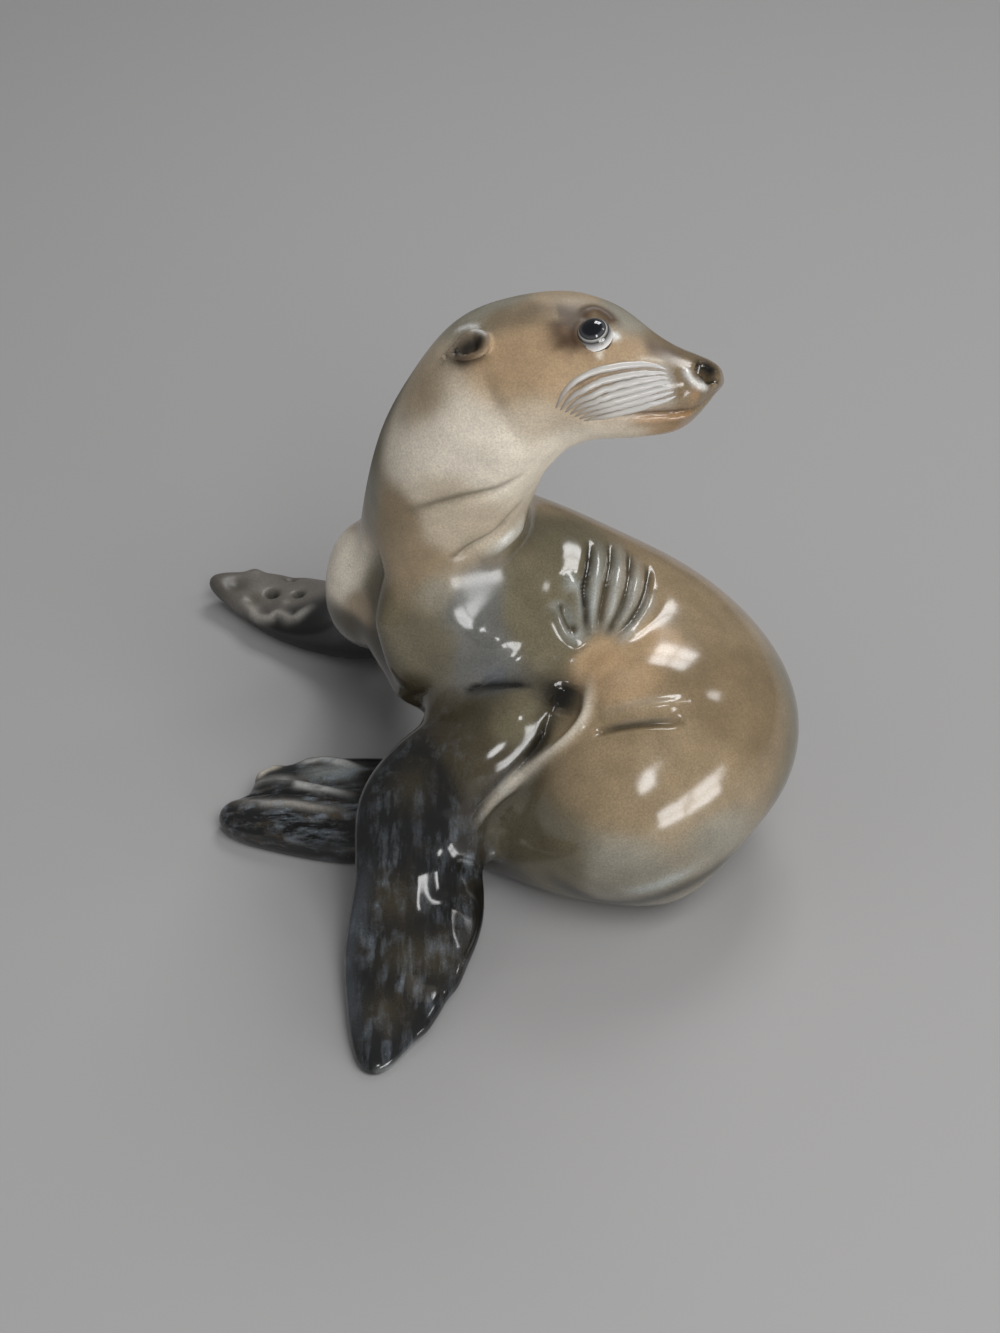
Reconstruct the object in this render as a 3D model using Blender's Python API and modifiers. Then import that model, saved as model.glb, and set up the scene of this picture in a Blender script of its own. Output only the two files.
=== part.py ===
"""Sea lion figurine of glazed porcelain, cast in one piece.

The animal sits on its haunches and looks back over its left shoulder. The frame is in
metres, +Z up, with the front seen along +Y. The origin lies on the flat foot under the
haunches. Sizes in this file are in millimetres, and MM turns them into metres.

The build is a sculptor's: limbs are subdivided cages, one voxel skin joins them, strokes
and dabs carve the skin, and a flat cut makes the foot.
"""

import math
from dataclasses import dataclass

import bmesh
import bpy
import numpy as np
from mathutils import Vector
from mathutils.bvhtree import BVHTree

MM = 0.001

# Casting
RING_POINTS = 12
CAGE_LEVELS = 3
CLAY_DETAIL = 0.9
SKIN_DETAIL = 0.75
FILLET = 3.0
JOINT_PASSES = 10
SHOULDER_PASSES = 90
SHOULDER_REACH = 13
SKIN_PASSES = 2
MODEL_TRIANGLES = 11600
FOOT_CUT = 0.6

# Head: its place, its pose and the sizes of its features
HEAD_PIVOT = (-13.2, -3.0, 140.3)
HEAD_FORWARD = (0.97, -0.197, 0.14)
HEAD_ROLL = 30.0
EYE_RADIUS = 4.2
EYE_SINK = 1.8
ORBIT_DEPTH = 1.2
ORBIT_RADIUS = 7
SOCKET_DEPTH = 0.7
SOCKET_RADIUS = 5
LID_REACH = 4.5
EAR_HALF_WIDTH = 4.6
EAR_THICKNESS = 2.8
EAR_HOLLOW = 2.0
NEAR_EAR_LIFTS = (0.5, 1.8, 2.6)
FAR_EAR_LIFTS = (0.1, 0.4, 0.6)
NOSTRIL_DEPTH = 2.8
MOUTH_DEPTH = 1.1
MUZZLE_PAD_HEIGHT = 1.0
MUZZLE_PAD_RADIUS = 6
WHISKER_RELIEF = 0.75

# Carving
FOLD_DEPTH = 2.2
FOLD_WIDTH = 1.2
NECK_FOLD_DEPTH = 1.3
NECK_FOLD_WIDTH = 1.5
STERNUM_DEPTH = 3.2
STERNUM_WIDTH = 5
RUMP_UNDERCUT_DEPTH = 3.5
RUMP_UNDERCUT_WIDTH = 12
ARMPIT_DEPTH = 2.2
ARMPIT_WIDTH = 3
WEB_HEIGHT = 1.8
WEB_WIDTH = 2.2
DIGIT_RELIEF = 1.0
KNUCKLE_HEIGHT = 1.0
KNUCKLE_RADIUS = 3.6
DIMPLE_DEPTH = 3.0
DIMPLE_RADIUS = 2.6
RIM_HEIGHT = 1.6
RIM_WIDTH = 1.8


@dataclass
class Station:
    """One cross-section of a limb: an egg-shaped ring about a point of its middle line."""

    centre: tuple
    crest: tuple
    half_width: float
    crest_height: float
    keel_height: float


UP = (0, 0, 1)

HAUNCH_TO_NECK = [
    Station((-58, -17, 8), UP, 9, 6, 8),
    Station((-48, -18, 10), UP, 12, 9, 11),
    Station((-33, -20, 15), UP, 16, 15, 17),
    Station((-15, -28, 21), UP, 22, 22, 23),
    Station((2, -32, 31), UP, 32, 30, 36),
    Station((12, -22, 37), UP, 37, 34, 40),
    Station((13, -6, 38), UP, 38.5, 34, 41),
    Station((3, 6, 41), UP, 38, 35, 42),
    Station((-12, 12, 47), (0.1, 0, 1), 37, 35, 44),
    Station((-28, 14, 57), (0.4, 0, 1), 37, 33, 35),
    Station((-38, 12, 70), (0.8, 0, 0.6), 34, 29, 32),
    Station((-41.5, 10, 84), (1, 0, 0.2), 27, 24, 25.5),
    Station((-41.5, 8, 98), (1, 0, 0), 23, 21, 22.5),
    Station((-37.5, 5, 112), (0.9, 0, -0.4), 22, 20, 23.5),
    Station((-30.5, 2, 125), (0.8, 0, -0.7), 22, 17.5, 25),
    Station((-22.5, -1, 135.5), (0.4, -0.2, -0.9), 22, 17, 26),
]

# Head sections: reach from the pivot, half width, jaw height, crown height
HEAD_SECTIONS = [
    (0, 21.5, 15.2, 24.3),
    (9, 20, 13.2, 22.7),
    (17, 17, 13, 19),
    (23.5, 13.7, 12.5, 13.8),
    (30, 11.7, 11.2, 9.7),
    (35.5, 10, 7.0, 7.5),
    (40, 6.5, 1.6, 5.2),
    (41.7, 3, 0.5, 2.8),
]

NEAR_ARM = [
    Station((-16, -8, 60), (-0.2, -0.6, 0.8), 13, 12, 12),
    Station((-18, -22, 56), (-0.2, -0.6, 0.8), 13, 11, 11),
    Station((-29, -30, 48), (-0.2, -0.6, 0.8), 14, 10, 10),
    Station((-42, -34, 39), (-0.2, -0.5, 0.85), 16, 8.5, 8.5),
    Station((-49.5, -40, 30), (-0.1, -0.4, 0.9), 17.5, 7, 7),
    Station((-50, -48.5, 21), (0.1, -0.3, 0.9), 17, 6, 6),
    Station((-50, -58, 13), (0.1, -0.2, 1), 17.7, 5, 9),
    Station((-53, -71, 8), (0, -0.1, 1), 16.5, 4, 9),
    Station((-56, -85, 5.5), UP, 13, 3.5, 6.5),
    Station((-59, -98, 4), UP, 8.2, 3, 5),
    Station((-61.5, -108.5, 2.5), UP, 3.2, 2, 3),
]

FAR_ARM = [
    Station((-55, 13, 86), (-0.8, 0.3, 0.6), 7, 7, 7),
    Station((-60.5, 14, 75), (-0.8, 0.3, 0.6), 13, 13, 13),
    Station((-61, 19, 60), (-0.6, 0.4, 0.7), 16, 14, 15),
    Station((-58, 34, 43), (-0.2, 0.5, 0.8), 15, 12, 12),
    Station((-60, 53, 27), (-0.2, 0.4, 0.9), 13, 9, 10),
    Station((-68, 66, 14), (0, 0.2, 1), 13, 7, 11),
    Station((-80, 76, 9), UP, 14.5, 5, 10),
    Station((-92, 84, 7), UP, 14, 4, 8),
    Station((-104, 90, 7), UP, 10, 3.5, 6.5),
    Station((-113, 93, 8), UP, 5.5, 3, 4),
    Station((-118, 95, 8.5), UP, 2, 1.5, 1.5),
]

NEAR_FOOT = [
    Station((-36, -19, 10), UP, 10, 9, 9),
    Station((-54, -20, 8.5), (0, -0.3, 1), 10.5, 9, 10),
    Station((-72, -18, 7.5), (0, -0.4, 1), 11.5, 8, 9),
    Station((-88, -15, 6.5), (0, -0.4, 1), 10, 7, 8),
    Station((-100, -13, 5), (0, -0.2, 1), 7, 5, 6),
    Station((-107, -11, 4.5), UP, 3, 3, 4),
]

FAR_FOOT = [
    Station((-36, -8, 10), UP, 10, 8, 8),
    Station((-54, -6, 9), UP, 11, 7.5, 10),
    Station((-70, -4, 8), UP, 11, 7, 9),
    Station((-83, -2, 7), UP, 9, 6, 8),
    Station((-93, -2, 6), UP, 6, 5, 6),
    Station((-98, -2, 5), UP, 2.5, 2.5, 2.5),
]

# Marks on a limb's skin are pairs: place between stations, degrees round from the crest.
EYE_MARK = (17.3, 229)
SOCKET_MARKS = [(17.0, 215), (17.9, 240)]
TEAR_MARKS = [(17.95, 233), (18.2, 236), (17.9, 246), (17.5, 250)]
BROW_MARKS = [(16.8, 236), (16.9, 222), (17.3, 210), (17.9, 214)]
EAR_MARKS = [(15.5, 226), (15.25, 222), (14.85, 213)]
NOSTRIL_MARKS = [(20.9, 226), (21.6, 240), (22.3, 272)]
NOSTRIL_RIM_MARKS = [(20.5, 235), (20.9, 252), (21.6, 278)]
MOUTH_MARKS = [(22.2, 340), (21.3, 330), (20.6, 311), (19.8, 308), (19.0, 310), (18.3, 310)]
LIP_MARKS = [(21.2, 345), (20.4, 325), (19.6, 324), (18.8, 326)]
CHEEK_FOLD_MARKS = [(15.2, 250), (15.1, 258), (15.2, 275)]
MUZZLE_PAD_MARK = (19.4, 274)
TOP_WHISKER = [(20.5, 240), (19.0, 243), (17.9, 254), (17.2, 261), (16.7, 273), (16.4, 296)]
LOW_WHISKER = [(20.2, 292), (19.6, 290), (18.9, 297), (18.3, 303), (17.9, 309), (17.5, 315)]
WHISKERS = 7

NECK_FOLDS = [
    [(14.9, 318), (14.1, 288), (13.5, 264), (12.9, 246), (12.5, 228)],
    [(13.1, 338), (12.8, 321), (12.4, 300), (12.1, 279), (11.9, 258)],
    [(11.4, 6), (11.4, 345), (11.5, 318)],
]
STERNUM_MARKS = [(11.8, 204), (11.2, 210), (10.5, 216), (9.9, 222), (9.5, 240)]
FLANK_FOLDS = [
    [(9.8, 321), (9.0, 315), (8.5, 309), (7.9, 312)],
    [(9.6, 339), (8.9, 327), (8.3, 321), (7.8, 315)],
    [(8.8, 0), (8.6, 342), (8.4, 327), (6.6, 322)],
    [(8.3, 12), (8.0, 351), (7.9, 333), (6.8, 324)],
    [(7.9, 15), (7.6, 354), (7.0, 342), (5.6, 336)],
    [(7.4, 18), (7.0, 0), (6.3, 348), (5.6, 339)],
]
HAUNCH_FOLDS = [
    [(4.3, 12), (4.4, 15), (4.6, 21), (4.7, 30)],
    [(4.4, 6), (4.6, 14), (4.8, 21), (5.0, 24)],
]
RUMP_UNDERCUT_MARKS = [(3.9, 132), (4.6, 128), (5.2, 126), (6.0, 126), (7.0, 128)]
ARMPIT_MARKS = [(4.4, 342), (4.3, 352), (4.0, 3)]
WEB_MARKS = [(4.9, 333), (4.4, 357), (4.0, 9), (3.7, 15), (3.5, 24)]
WEB_GROOVE_MARKS = [(4.3, 15), (4.0, 18), (3.5, 33), (2.9, 63)]

ARM_FOLD_MARKS = [(2.2, 66), (1.7, 58), (1.3, 28), (1.2, 0), (1.1, 338)]
ARM_WEB_MARKS = [(2.0, 291), (2.6, 282), (4.1, 279)]
DIGIT_GROOVES = [
    [(5.6, 345), (6.2, 338), (6.9, 318), (7.3, 295)],
    [(5.5, 12), (6.6, 357), (7.5, 336), (8.3, 300)],
    [(6.1, 39), (7.2, 21), (8.2, 0), (9.0, 315)],
]
KNUCKLES = [(5.5, 327), (5.1, 345), (4.1, 321), (5.7, 3), (6.4, 327), (7.2, 295), (8.3, 295)]
SHOULDER_KNOBS = [(1.5, 0), (1.05, 342)]
FAR_DIMPLES = [(7.3, 345), (6.7, 357), (7.7, 310), (7.3, 34)]
FAR_RIM = [(8.4, 318), (7.8, 318), (7.3, 303), (6.7, 312), (6.4, 345), (6.4, 24)]
NEAR_FOOT_RIDGES = [
    [(4.3, 20), (3.6, 24), (2.9, 16), (2.3, 3), (1.6, 3)],
    [(4.3, 330), (3.7, 338), (3.0, 330), (2.2, 325)],
]
NEAR_FOOT_GROOVES = [
    [(4.3, 345), (3.4, 356), (2.8, 350), (2.0, 342)],
    [(4.2, 305), (3.4, 322), (2.9, 312)],
]
FAR_FOOT_RIDGES = [[(4.3, 350), (3.6, 345), (2.8, 2), (1.8, 355)]]
FAR_FOOT_GROOVES = [[(4.2, 325), (3.0, 320), (2.0, 324)], [(4.2, 20), (3.0, 25), (2.0, 22)]]


def unit(vector):
    """The vector at length one."""
    vector = np.asarray(vector, float)
    return vector / np.linalg.norm(vector)


def spline_matrix(count, closed):
    """What a uniform cubic B-spline's control points give at the stations themselves."""
    matrix = (4 * np.eye(count) + np.eye(count, k=1) + np.eye(count, k=-1)) / 6
    if closed:
        matrix[0, -1] = matrix[-1, 0] = 1 / 6
    else:
        matrix[0] = matrix[-1] = 0
        matrix[0, 0] = matrix[-1, -1] = 1
    return matrix


def spline_weights(place, count):
    """First index and four weights of a uniform cubic B-spline at a place between stations."""
    first = min(max(int(place), 1), count - 3)
    f = place - first
    weights = ((1 - f) ** 3, 3 * f**3 - 6 * f**2 + 4, -3 * f**3 + 3 * f**2 + 3 * f + 1, f**3)
    return first - 1, np.array(weights) / 6


def curve_through(points, steps=8):
    """A smooth row of points through the given ones (Catmull-Rom)."""
    points = np.asarray(points, float)
    if len(points) < 3:
        return np.linspace(points[0], points[-1], steps + 1)
    padded = np.vstack((2 * points[0] - points[1], points, 2 * points[-1] - points[-2]))
    row = []
    for a, b, c, d in zip(padded, padded[1:], padded[2:], padded[3:]):
        for t in np.arange(steps) / steps:
            row.append(
                0.5 * (2 * b + (c - a) * t + (2 * a - 5 * b + 4 * c - d) * t**2)
                + 0.5 * (3 * b - a - 3 * c + d) * t**3
            )
    row.append(points[-1])
    return np.array(row)


def linked(name, mesh):
    """A new object of this mesh in the scene."""
    made = bpy.data.objects.new(name, mesh)
    bpy.context.scene.collection.objects.link(made)
    return made


class Limb:
    """A smooth closed form through a row of stations, built as a cage with subdivision."""

    def __init__(self, name, stations):
        self.name = name
        self.stations = stations
        self.cage = self.fitted_cage()

    def axes(self, index):
        """Side and crest directions of a station, square to the middle line."""
        before = self.stations[max(index - 1, 0)].centre
        after = self.stations[min(index + 1, len(self.stations) - 1)].centre
        along = unit(np.subtract(after, before))
        side = unit(np.cross(along, self.stations[index].crest))
        return side, np.cross(side, along)

    def fitted_cage(self):
        """Control points, fitted so that the subdivided skin passes through the stations."""
        angles = np.arange(RING_POINTS) * math.tau / RING_POINTS
        rings = []
        for index, station in enumerate(self.stations):
            side, crest = self.axes(index)
            rise = np.where(np.cos(angles) > 0, station.crest_height, station.keel_height)
            across = np.outer(np.sin(angles) * station.half_width, side)
            rings.append(across + np.outer(np.cos(angles) * rise, crest) + station.centre)
        count = len(rings)
        rings = np.linalg.solve(spline_matrix(count, False), np.reshape(rings, (count, -1)))
        rings = rings.reshape(count, RING_POINTS, 3).swapaxes(0, 1).reshape(RING_POINTS, -1)
        rings = np.linalg.solve(spline_matrix(RING_POINTS, True), rings)
        return rings.reshape(RING_POINTS, count, 3).swapaxes(0, 1)

    def skin_point(self, mark, lift=0.0):
        """The skin at a mark, lifted outwards by some millimetres."""
        place, angle = mark
        first, along = spline_weights(place, len(self.stations))
        turn = (angle / 360 % 1) * RING_POINTS
        start = int(turn)
        _, around = spline_weights(turn - start + 1, 4)
        columns = [(start + k - 1) % RING_POINTS for k in range(4)]
        rows = self.cage[first : first + 4]
        point = np.einsum("i,j,ijk->k", along, around, rows[:, columns])
        middle = along @ rows.mean(axis=1)
        return point + unit(point - middle) * lift

    def marks(self, marks, lift=0.0):
        """The skin at several marks."""
        return [self.skin_point(mark, lift) for mark in marks]

    def build(self):
        """The cage as a mesh object under a Subdivision Surface."""
        form = bmesh.new()
        rows = [[form.verts.new(point * MM) for point in ring] for ring in self.cage]
        for lower, upper in zip(rows, rows[1:]):
            for k in range(RING_POINTS):
                after = (k + 1) % RING_POINTS
                form.faces.new((lower[k], lower[after], upper[after], upper[k]))
        form.faces.new(rows[0][::-1])
        form.faces.new(rows[-1])
        bmesh.ops.recalc_face_normals(form, faces=form.faces)
        mesh = bpy.data.meshes.new(self.name)
        form.to_mesh(mesh)
        form.free()
        made = linked(self.name, mesh)
        skin = made.modifiers.new("skin", "SUBSURF")
        skin.levels = skin.render_levels = CAGE_LEVELS
        return made


def between(mark, other):
    """The mark halfway between two, the short way round the limb."""
    turn = (other[1] - mark[1] + 180) % 360 - 180
    return (mark[0] + other[0]) / 2, (mark[1] + turn / 2) % 360


def facing(mark):
    """A mark on the side of the head that faces the front."""
    return tuple(mark)


def mirrored(mark):
    """The same mark on the head's other side."""
    place, angle = mark
    return place, 360 - angle


def head_stations():
    """The head's sections, set along its own line and rolled about it."""
    roll = math.radians(HEAD_ROLL)
    forward = unit(HEAD_FORWARD)
    jaw_side = (0, -math.sin(roll), -math.cos(roll))
    rows = []
    for reach, half_width, jaw, crown in HEAD_SECTIONS:
        centre = np.array(HEAD_PIVOT) + forward * reach
        rows.append(Station(tuple(centre), jaw_side, half_width, jaw, crown))
    return rows


def ear(body, turn, lifts):
    """A small pointed ear that lies back along the head, lifted off it by some millimetres."""
    line = [body.skin_point(turn(mark), lift) for mark, lift in zip(EAR_MARKS, lifts)]
    outward = body.skin_point(turn(EAR_MARKS[1]), 1) - body.skin_point(turn(EAR_MARKS[1]))
    path = curve_through(line, steps=3)
    widths = (0.45, 0.8, 1.0, 1.0, 0.85, 0.55, 0.1)
    rows = [
        Station(
            tuple(point),
            tuple(outward),
            EAR_HALF_WIDTH * width,
            EAR_THICKNESS * math.sqrt(width) / 2,
            EAR_THICKNESS * math.sqrt(width) / 2,
        )
        for point, width in zip(path, widths)
    ]
    return Limb("ear", rows)


def eyeball(body, mark):
    """The glazed bulge of an eye, sunk into its socket."""
    centre = body.skin_point(mark, -EYE_SINK) * MM
    bpy.ops.mesh.primitive_uv_sphere_add(
        segments=32, ring_count=16, radius=EYE_RADIUS * MM, location=centre
    )
    return bpy.context.object


def fused(objects, name, detail, passes, fillet=0.0):
    """One closed mesh over overlapping forms, with rounded and softened inner corners."""
    graph = bpy.context.evaluated_depsgraph_get()
    form = bmesh.new()
    for piece in objects:
        mesh = bpy.data.meshes.new_from_object(piece.evaluated_get(graph))
        mesh.transform(piece.matrix_world)
        form.from_mesh(mesh)
        bpy.data.meshes.remove(mesh)
        bpy.data.objects.remove(piece)
    mesh = bpy.data.meshes.new(name)
    form.to_mesh(mesh)
    form.free()
    made = linked(name, mesh)
    voxels(made, detail)
    if fillet:
        swell(made, fillet)
        voxels(made, detail)
        swell(made, -fillet)
    soften = made.modifiers.new("soften", "SMOOTH")
    soften.iterations = round(passes)
    return applied(made)


def voxels(obj, detail):
    """Rebuilds the object as one skin of even quads."""
    skin = obj.modifiers.new("skin", "REMESH")
    skin.mode = "VOXEL"
    skin.voxel_size = detail * MM


def swell(obj, distance):
    """Moves the whole skin outwards, or inwards where distance is below zero."""
    move = obj.modifiers.new("swell", "DISPLACE")
    move.mid_level = 0
    move.strength = distance * MM


def applied(obj):
    """The object with its modifiers made real."""
    graph = bpy.context.evaluated_depsgraph_get()
    mesh = bpy.data.meshes.new_from_object(obj.evaluated_get(graph))
    obj.modifiers.clear()
    obj.data = mesh
    return obj


def softened(obj, points, reach, passes):
    """The object, smoothed within reach of some points by a number of passes."""
    group = obj.vertex_groups.new(name="soft")
    places = np.array(points)
    for vertex in obj.data.vertices:
        distance = np.linalg.norm(places - np.array(vertex.co) / MM, axis=1).min()
        if distance < reach:
            group.add([vertex.index], (1 - (distance / reach) ** 2) ** 2, "REPLACE")
    soften = obj.modifiers.new("soften", "SMOOTH")
    soften.iterations = round(passes)
    soften.vertex_group = group.name
    return applied(obj)


class Carver:
    """Strokes and dabs on a dense mesh. They move its points along the skin's normals."""

    def __init__(self, obj):
        self.mesh = obj.data
        count = len(self.mesh.vertices)
        self.points = np.empty(count * 3)
        self.mesh.vertices.foreach_get("co", self.points)
        self.points = self.points.reshape(-1, 3) / MM
        self.normals = np.empty(count * 3, np.float32)
        self.mesh.vertex_normals.foreach_get("vector", self.normals)
        self.normals = self.normals.reshape(-1, 3)
        self.skin = BVHTree.FromPolygons(
            [Vector(point) for point in self.points],
            [tuple(face.vertices) for face in self.mesh.polygons],
        )
        self.rise = np.zeros(count)

    def on_skin(self, point):
        """The nearest point of the skin."""
        return np.array(self.skin.find_nearest(Vector(point))[0])

    def stroke(self, points, height, width, sharpness=2.0, ends=0.25):
        """Raises the skin along a path, or cuts it where height is below zero. It fades over
        the given share of the path at each end."""
        path = np.array([self.on_skin(point) for point in curve_through(points)])
        reach = 3 * width
        near = np.all(self.points > path.min(0) - reach, axis=1)
        near &= np.all(self.points < path.max(0) + reach, axis=1)
        near = np.flatnonzero(near)
        best = np.full(len(near), np.inf)
        share = np.zeros(len(near))
        for index, (start, end) in enumerate(zip(path, path[1:])):
            span = end - start
            offset = self.points[near] - start
            along = np.clip(offset @ span / max(span @ span, 1e-9), 0, 1)
            distance = np.linalg.norm(offset - np.outer(along, span), axis=1)
            closer = distance < best
            best[closer] = distance[closer]
            share[closer] = (index + along[closer]) / (len(path) - 1)
        fade = np.clip(np.minimum(share, 1 - share) / ends, 0, 1) if ends else 1.0
        self.rise[near] += height * np.exp(-((best / width) ** sharpness)) * fade

    def dab(self, point, height, radius):
        """Raises a round spot, or presses it in where height is below zero."""
        distance = np.linalg.norm(self.points - self.on_skin(point), axis=1)
        self.rise += height * np.exp(-((distance / radius) ** 2))

    def finish(self):
        """Moves the mesh's points."""
        moved = self.points + self.normals * self.rise[:, None]
        self.mesh.vertices.foreach_set("co", (moved * MM).ravel())
        self.mesh.update()


def ring_marks(body, mark, reach, count=16):
    """Points of a ring on the skin, at a distance from a mark."""
    centre = body.skin_point(mark)
    outward = unit(body.skin_point(mark, 1) - centre)
    side = unit(np.cross(outward, UP))
    above = np.cross(side, outward)
    angles = np.linspace(0, math.tau, count + 1)
    return [centre + reach * (math.cos(a) * side + math.sin(a) * above) for a in angles]


def carve_socket(carver, body, turn):
    """The hollow that an eye sits in."""
    for mark in SOCKET_MARKS:
        carver.dab(body.skin_point(turn(mark)), -SOCKET_DEPTH, SOCKET_RADIUS)
    carver.dab(body.skin_point(turn(EYE_MARK)), -ORBIT_DEPTH, ORBIT_RADIUS)


def carve_face(carver, body, turn):
    """Brow, lids, nostril, mouth and whisker relief of one side of the head."""
    carver.stroke(ring_marks(body, turn(EYE_MARK), LID_REACH), 0.9, 1.0, ends=0)
    carver.stroke(body.marks(map(turn, BROW_MARKS)), 1.3, 2.4)
    carver.stroke(body.marks(map(turn, TEAR_MARKS)), 0.5, 1.0)
    carver.stroke(body.marks(map(turn, EAR_MARKS), 5), -EAR_HOLLOW, 1.9, 2.5, 0.35)
    carver.stroke(body.marks(map(turn, NOSTRIL_MARKS)), -NOSTRIL_DEPTH, 1.25, 3, 0.15)
    carver.stroke(body.marks(map(turn, NOSTRIL_RIM_MARKS)), 0.8, 1.1)
    carver.stroke(body.marks(map(turn, MOUTH_MARKS)), -MOUTH_DEPTH, 0.8)
    carver.stroke(body.marks(map(turn, LIP_MARKS)), 0.6, 1.8)
    carver.stroke(body.marks(map(turn, CHEEK_FOLD_MARKS)), -0.7, 2.4)
    pad = body.skin_point(turn(MUZZLE_PAD_MARK))
    carver.dab(pad, MUZZLE_PAD_HEIGHT, MUZZLE_PAD_RADIUS)
    top, low = (np.array([turn(m) for m in row]) for row in (TOP_WHISKER, LOW_WHISKER))
    for share in np.linspace(0, 1, WHISKERS):
        carver.stroke(body.marks(top + (low - top) * share), WHISKER_RELIEF, 0.9, 3, 0.15)
    for share in (np.arange(WHISKERS - 1) + 0.5) / (WHISKERS - 1):
        carver.stroke(body.marks(top + (low - top) * share), -WHISKER_RELIEF, 0.65)


def carve_body(carver, body):
    """Skin folds of the neck, chest and flank."""
    for fold in NECK_FOLDS:
        carver.stroke(body.marks(fold), -NECK_FOLD_DEPTH, NECK_FOLD_WIDTH, 1.4, 0.35)
    carver.stroke(body.marks(STERNUM_MARKS), -STERNUM_DEPTH, STERNUM_WIDTH)
    for fold in FLANK_FOLDS:
        carver.stroke(body.marks(fold), -FOLD_DEPTH, FOLD_WIDTH, 1.5, 0.2)
    for left, right in zip(FLANK_FOLDS, FLANK_FOLDS[1:]):
        ridge = [between(*pair) for pair in zip(left, right)]
        carver.stroke(body.marks(ridge), 0.6 * FOLD_DEPTH, 1.8 * FOLD_WIDTH, 2.5)
    for fold in HAUNCH_FOLDS:
        carver.stroke(body.marks(fold), -0.7 * FOLD_DEPTH, FOLD_WIDTH, 1.4)
    undercut = body.marks(RUMP_UNDERCUT_MARKS)
    carver.stroke(undercut, -RUMP_UNDERCUT_DEPTH, RUMP_UNDERCUT_WIDTH, ends=0.35)
    carver.stroke(body.marks(ARMPIT_MARKS), -ARMPIT_DEPTH, ARMPIT_WIDTH)
    carver.stroke(body.marks(WEB_MARKS), WEB_HEIGHT, WEB_WIDTH)
    carver.stroke(body.marks(WEB_GROOVE_MARKS), -1.4, 2)


def carve_arms(carver, near_arm, far_arm):
    """Creases, digits and dimples of the fore flippers."""
    carver.stroke(near_arm.marks(ARM_FOLD_MARKS), -1.6, 1.6, 1.5)
    carver.stroke(near_arm.marks(ARM_WEB_MARKS), 1.2, 1.8)
    for groove in DIGIT_GROOVES:
        carver.stroke(near_arm.marks(groove), -DIGIT_RELIEF, 1.8)
    for mark in KNUCKLES:
        carver.dab(near_arm.skin_point(mark), KNUCKLE_HEIGHT, KNUCKLE_RADIUS)
    for mark in SHOULDER_KNOBS:
        carver.dab(near_arm.skin_point(mark), 1.4 * KNUCKLE_HEIGHT, KNUCKLE_RADIUS)
    for mark in FAR_DIMPLES:
        carver.dab(far_arm.skin_point(mark), -DIMPLE_DEPTH, DIMPLE_RADIUS)
    carver.stroke(far_arm.marks(FAR_RIM), RIM_HEIGHT, RIM_WIDTH)


def carve_feet(carver, near_foot, far_foot):
    """Digits of the hind flippers."""
    for foot, ridges, grooves in (
        (near_foot, NEAR_FOOT_RIDGES, NEAR_FOOT_GROOVES),
        (far_foot, FAR_FOOT_RIDGES, FAR_FOOT_GROOVES),
    ):
        for ridge in ridges:
            carver.stroke(foot.marks(ridge), 1.6 * DIGIT_RELIEF, 1.7)
        for groove in grooves:
            carver.stroke(foot.marks(groove), -1.6 * DIGIT_RELIEF, 1.3)


def flat_foot(obj):
    """Cuts the underside flat at the level of the table, so that the figure stands."""
    form = bmesh.new()
    form.from_mesh(obj.data)
    bmesh.ops.triangulate(form, faces=form.faces)
    everything = form.verts[:] + form.edges[:] + form.faces[:]
    level = (0, 0, FOOT_CUT * MM)
    cut = bmesh.ops.bisect_plane(
        form, geom=everything, dist=1e-7, plane_co=level, plane_no=UP, clear_inner=True
    )
    rim = [edge for edge in cut["geom_cut"] if isinstance(edge, bmesh.types.BMEdge)]
    bmesh.ops.edgenet_fill(form, edges=rim)
    bmesh.ops.translate(form, verts=form.verts, vec=(0, 0, -FOOT_CUT * MM))
    form.normal_update()
    form.to_mesh(obj.data)
    form.free()


def glazed_porcelain():
    """Glazed porcelain with brown underglaze."""
    material = bpy.data.materials.new("glazed_porcelain")
    material.use_nodes = True
    shader = material.node_tree.nodes["Principled BSDF"]
    shader.inputs["Base Color"].default_value = (0.23, 0.175, 0.12, 1)
    shader.inputs["Roughness"].default_value = 0.12
    shader.inputs["Metallic"].default_value = 0.0
    return material


def display(figure):
    """Moves the figure into the collection named for it."""
    shelf = bpy.data.collections.new(figure.name)
    bpy.context.scene.collection.children.link(shelf)
    for holder in list(figure.users_collection):
        holder.objects.unlink(figure)
    shelf.objects.link(figure)


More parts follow.
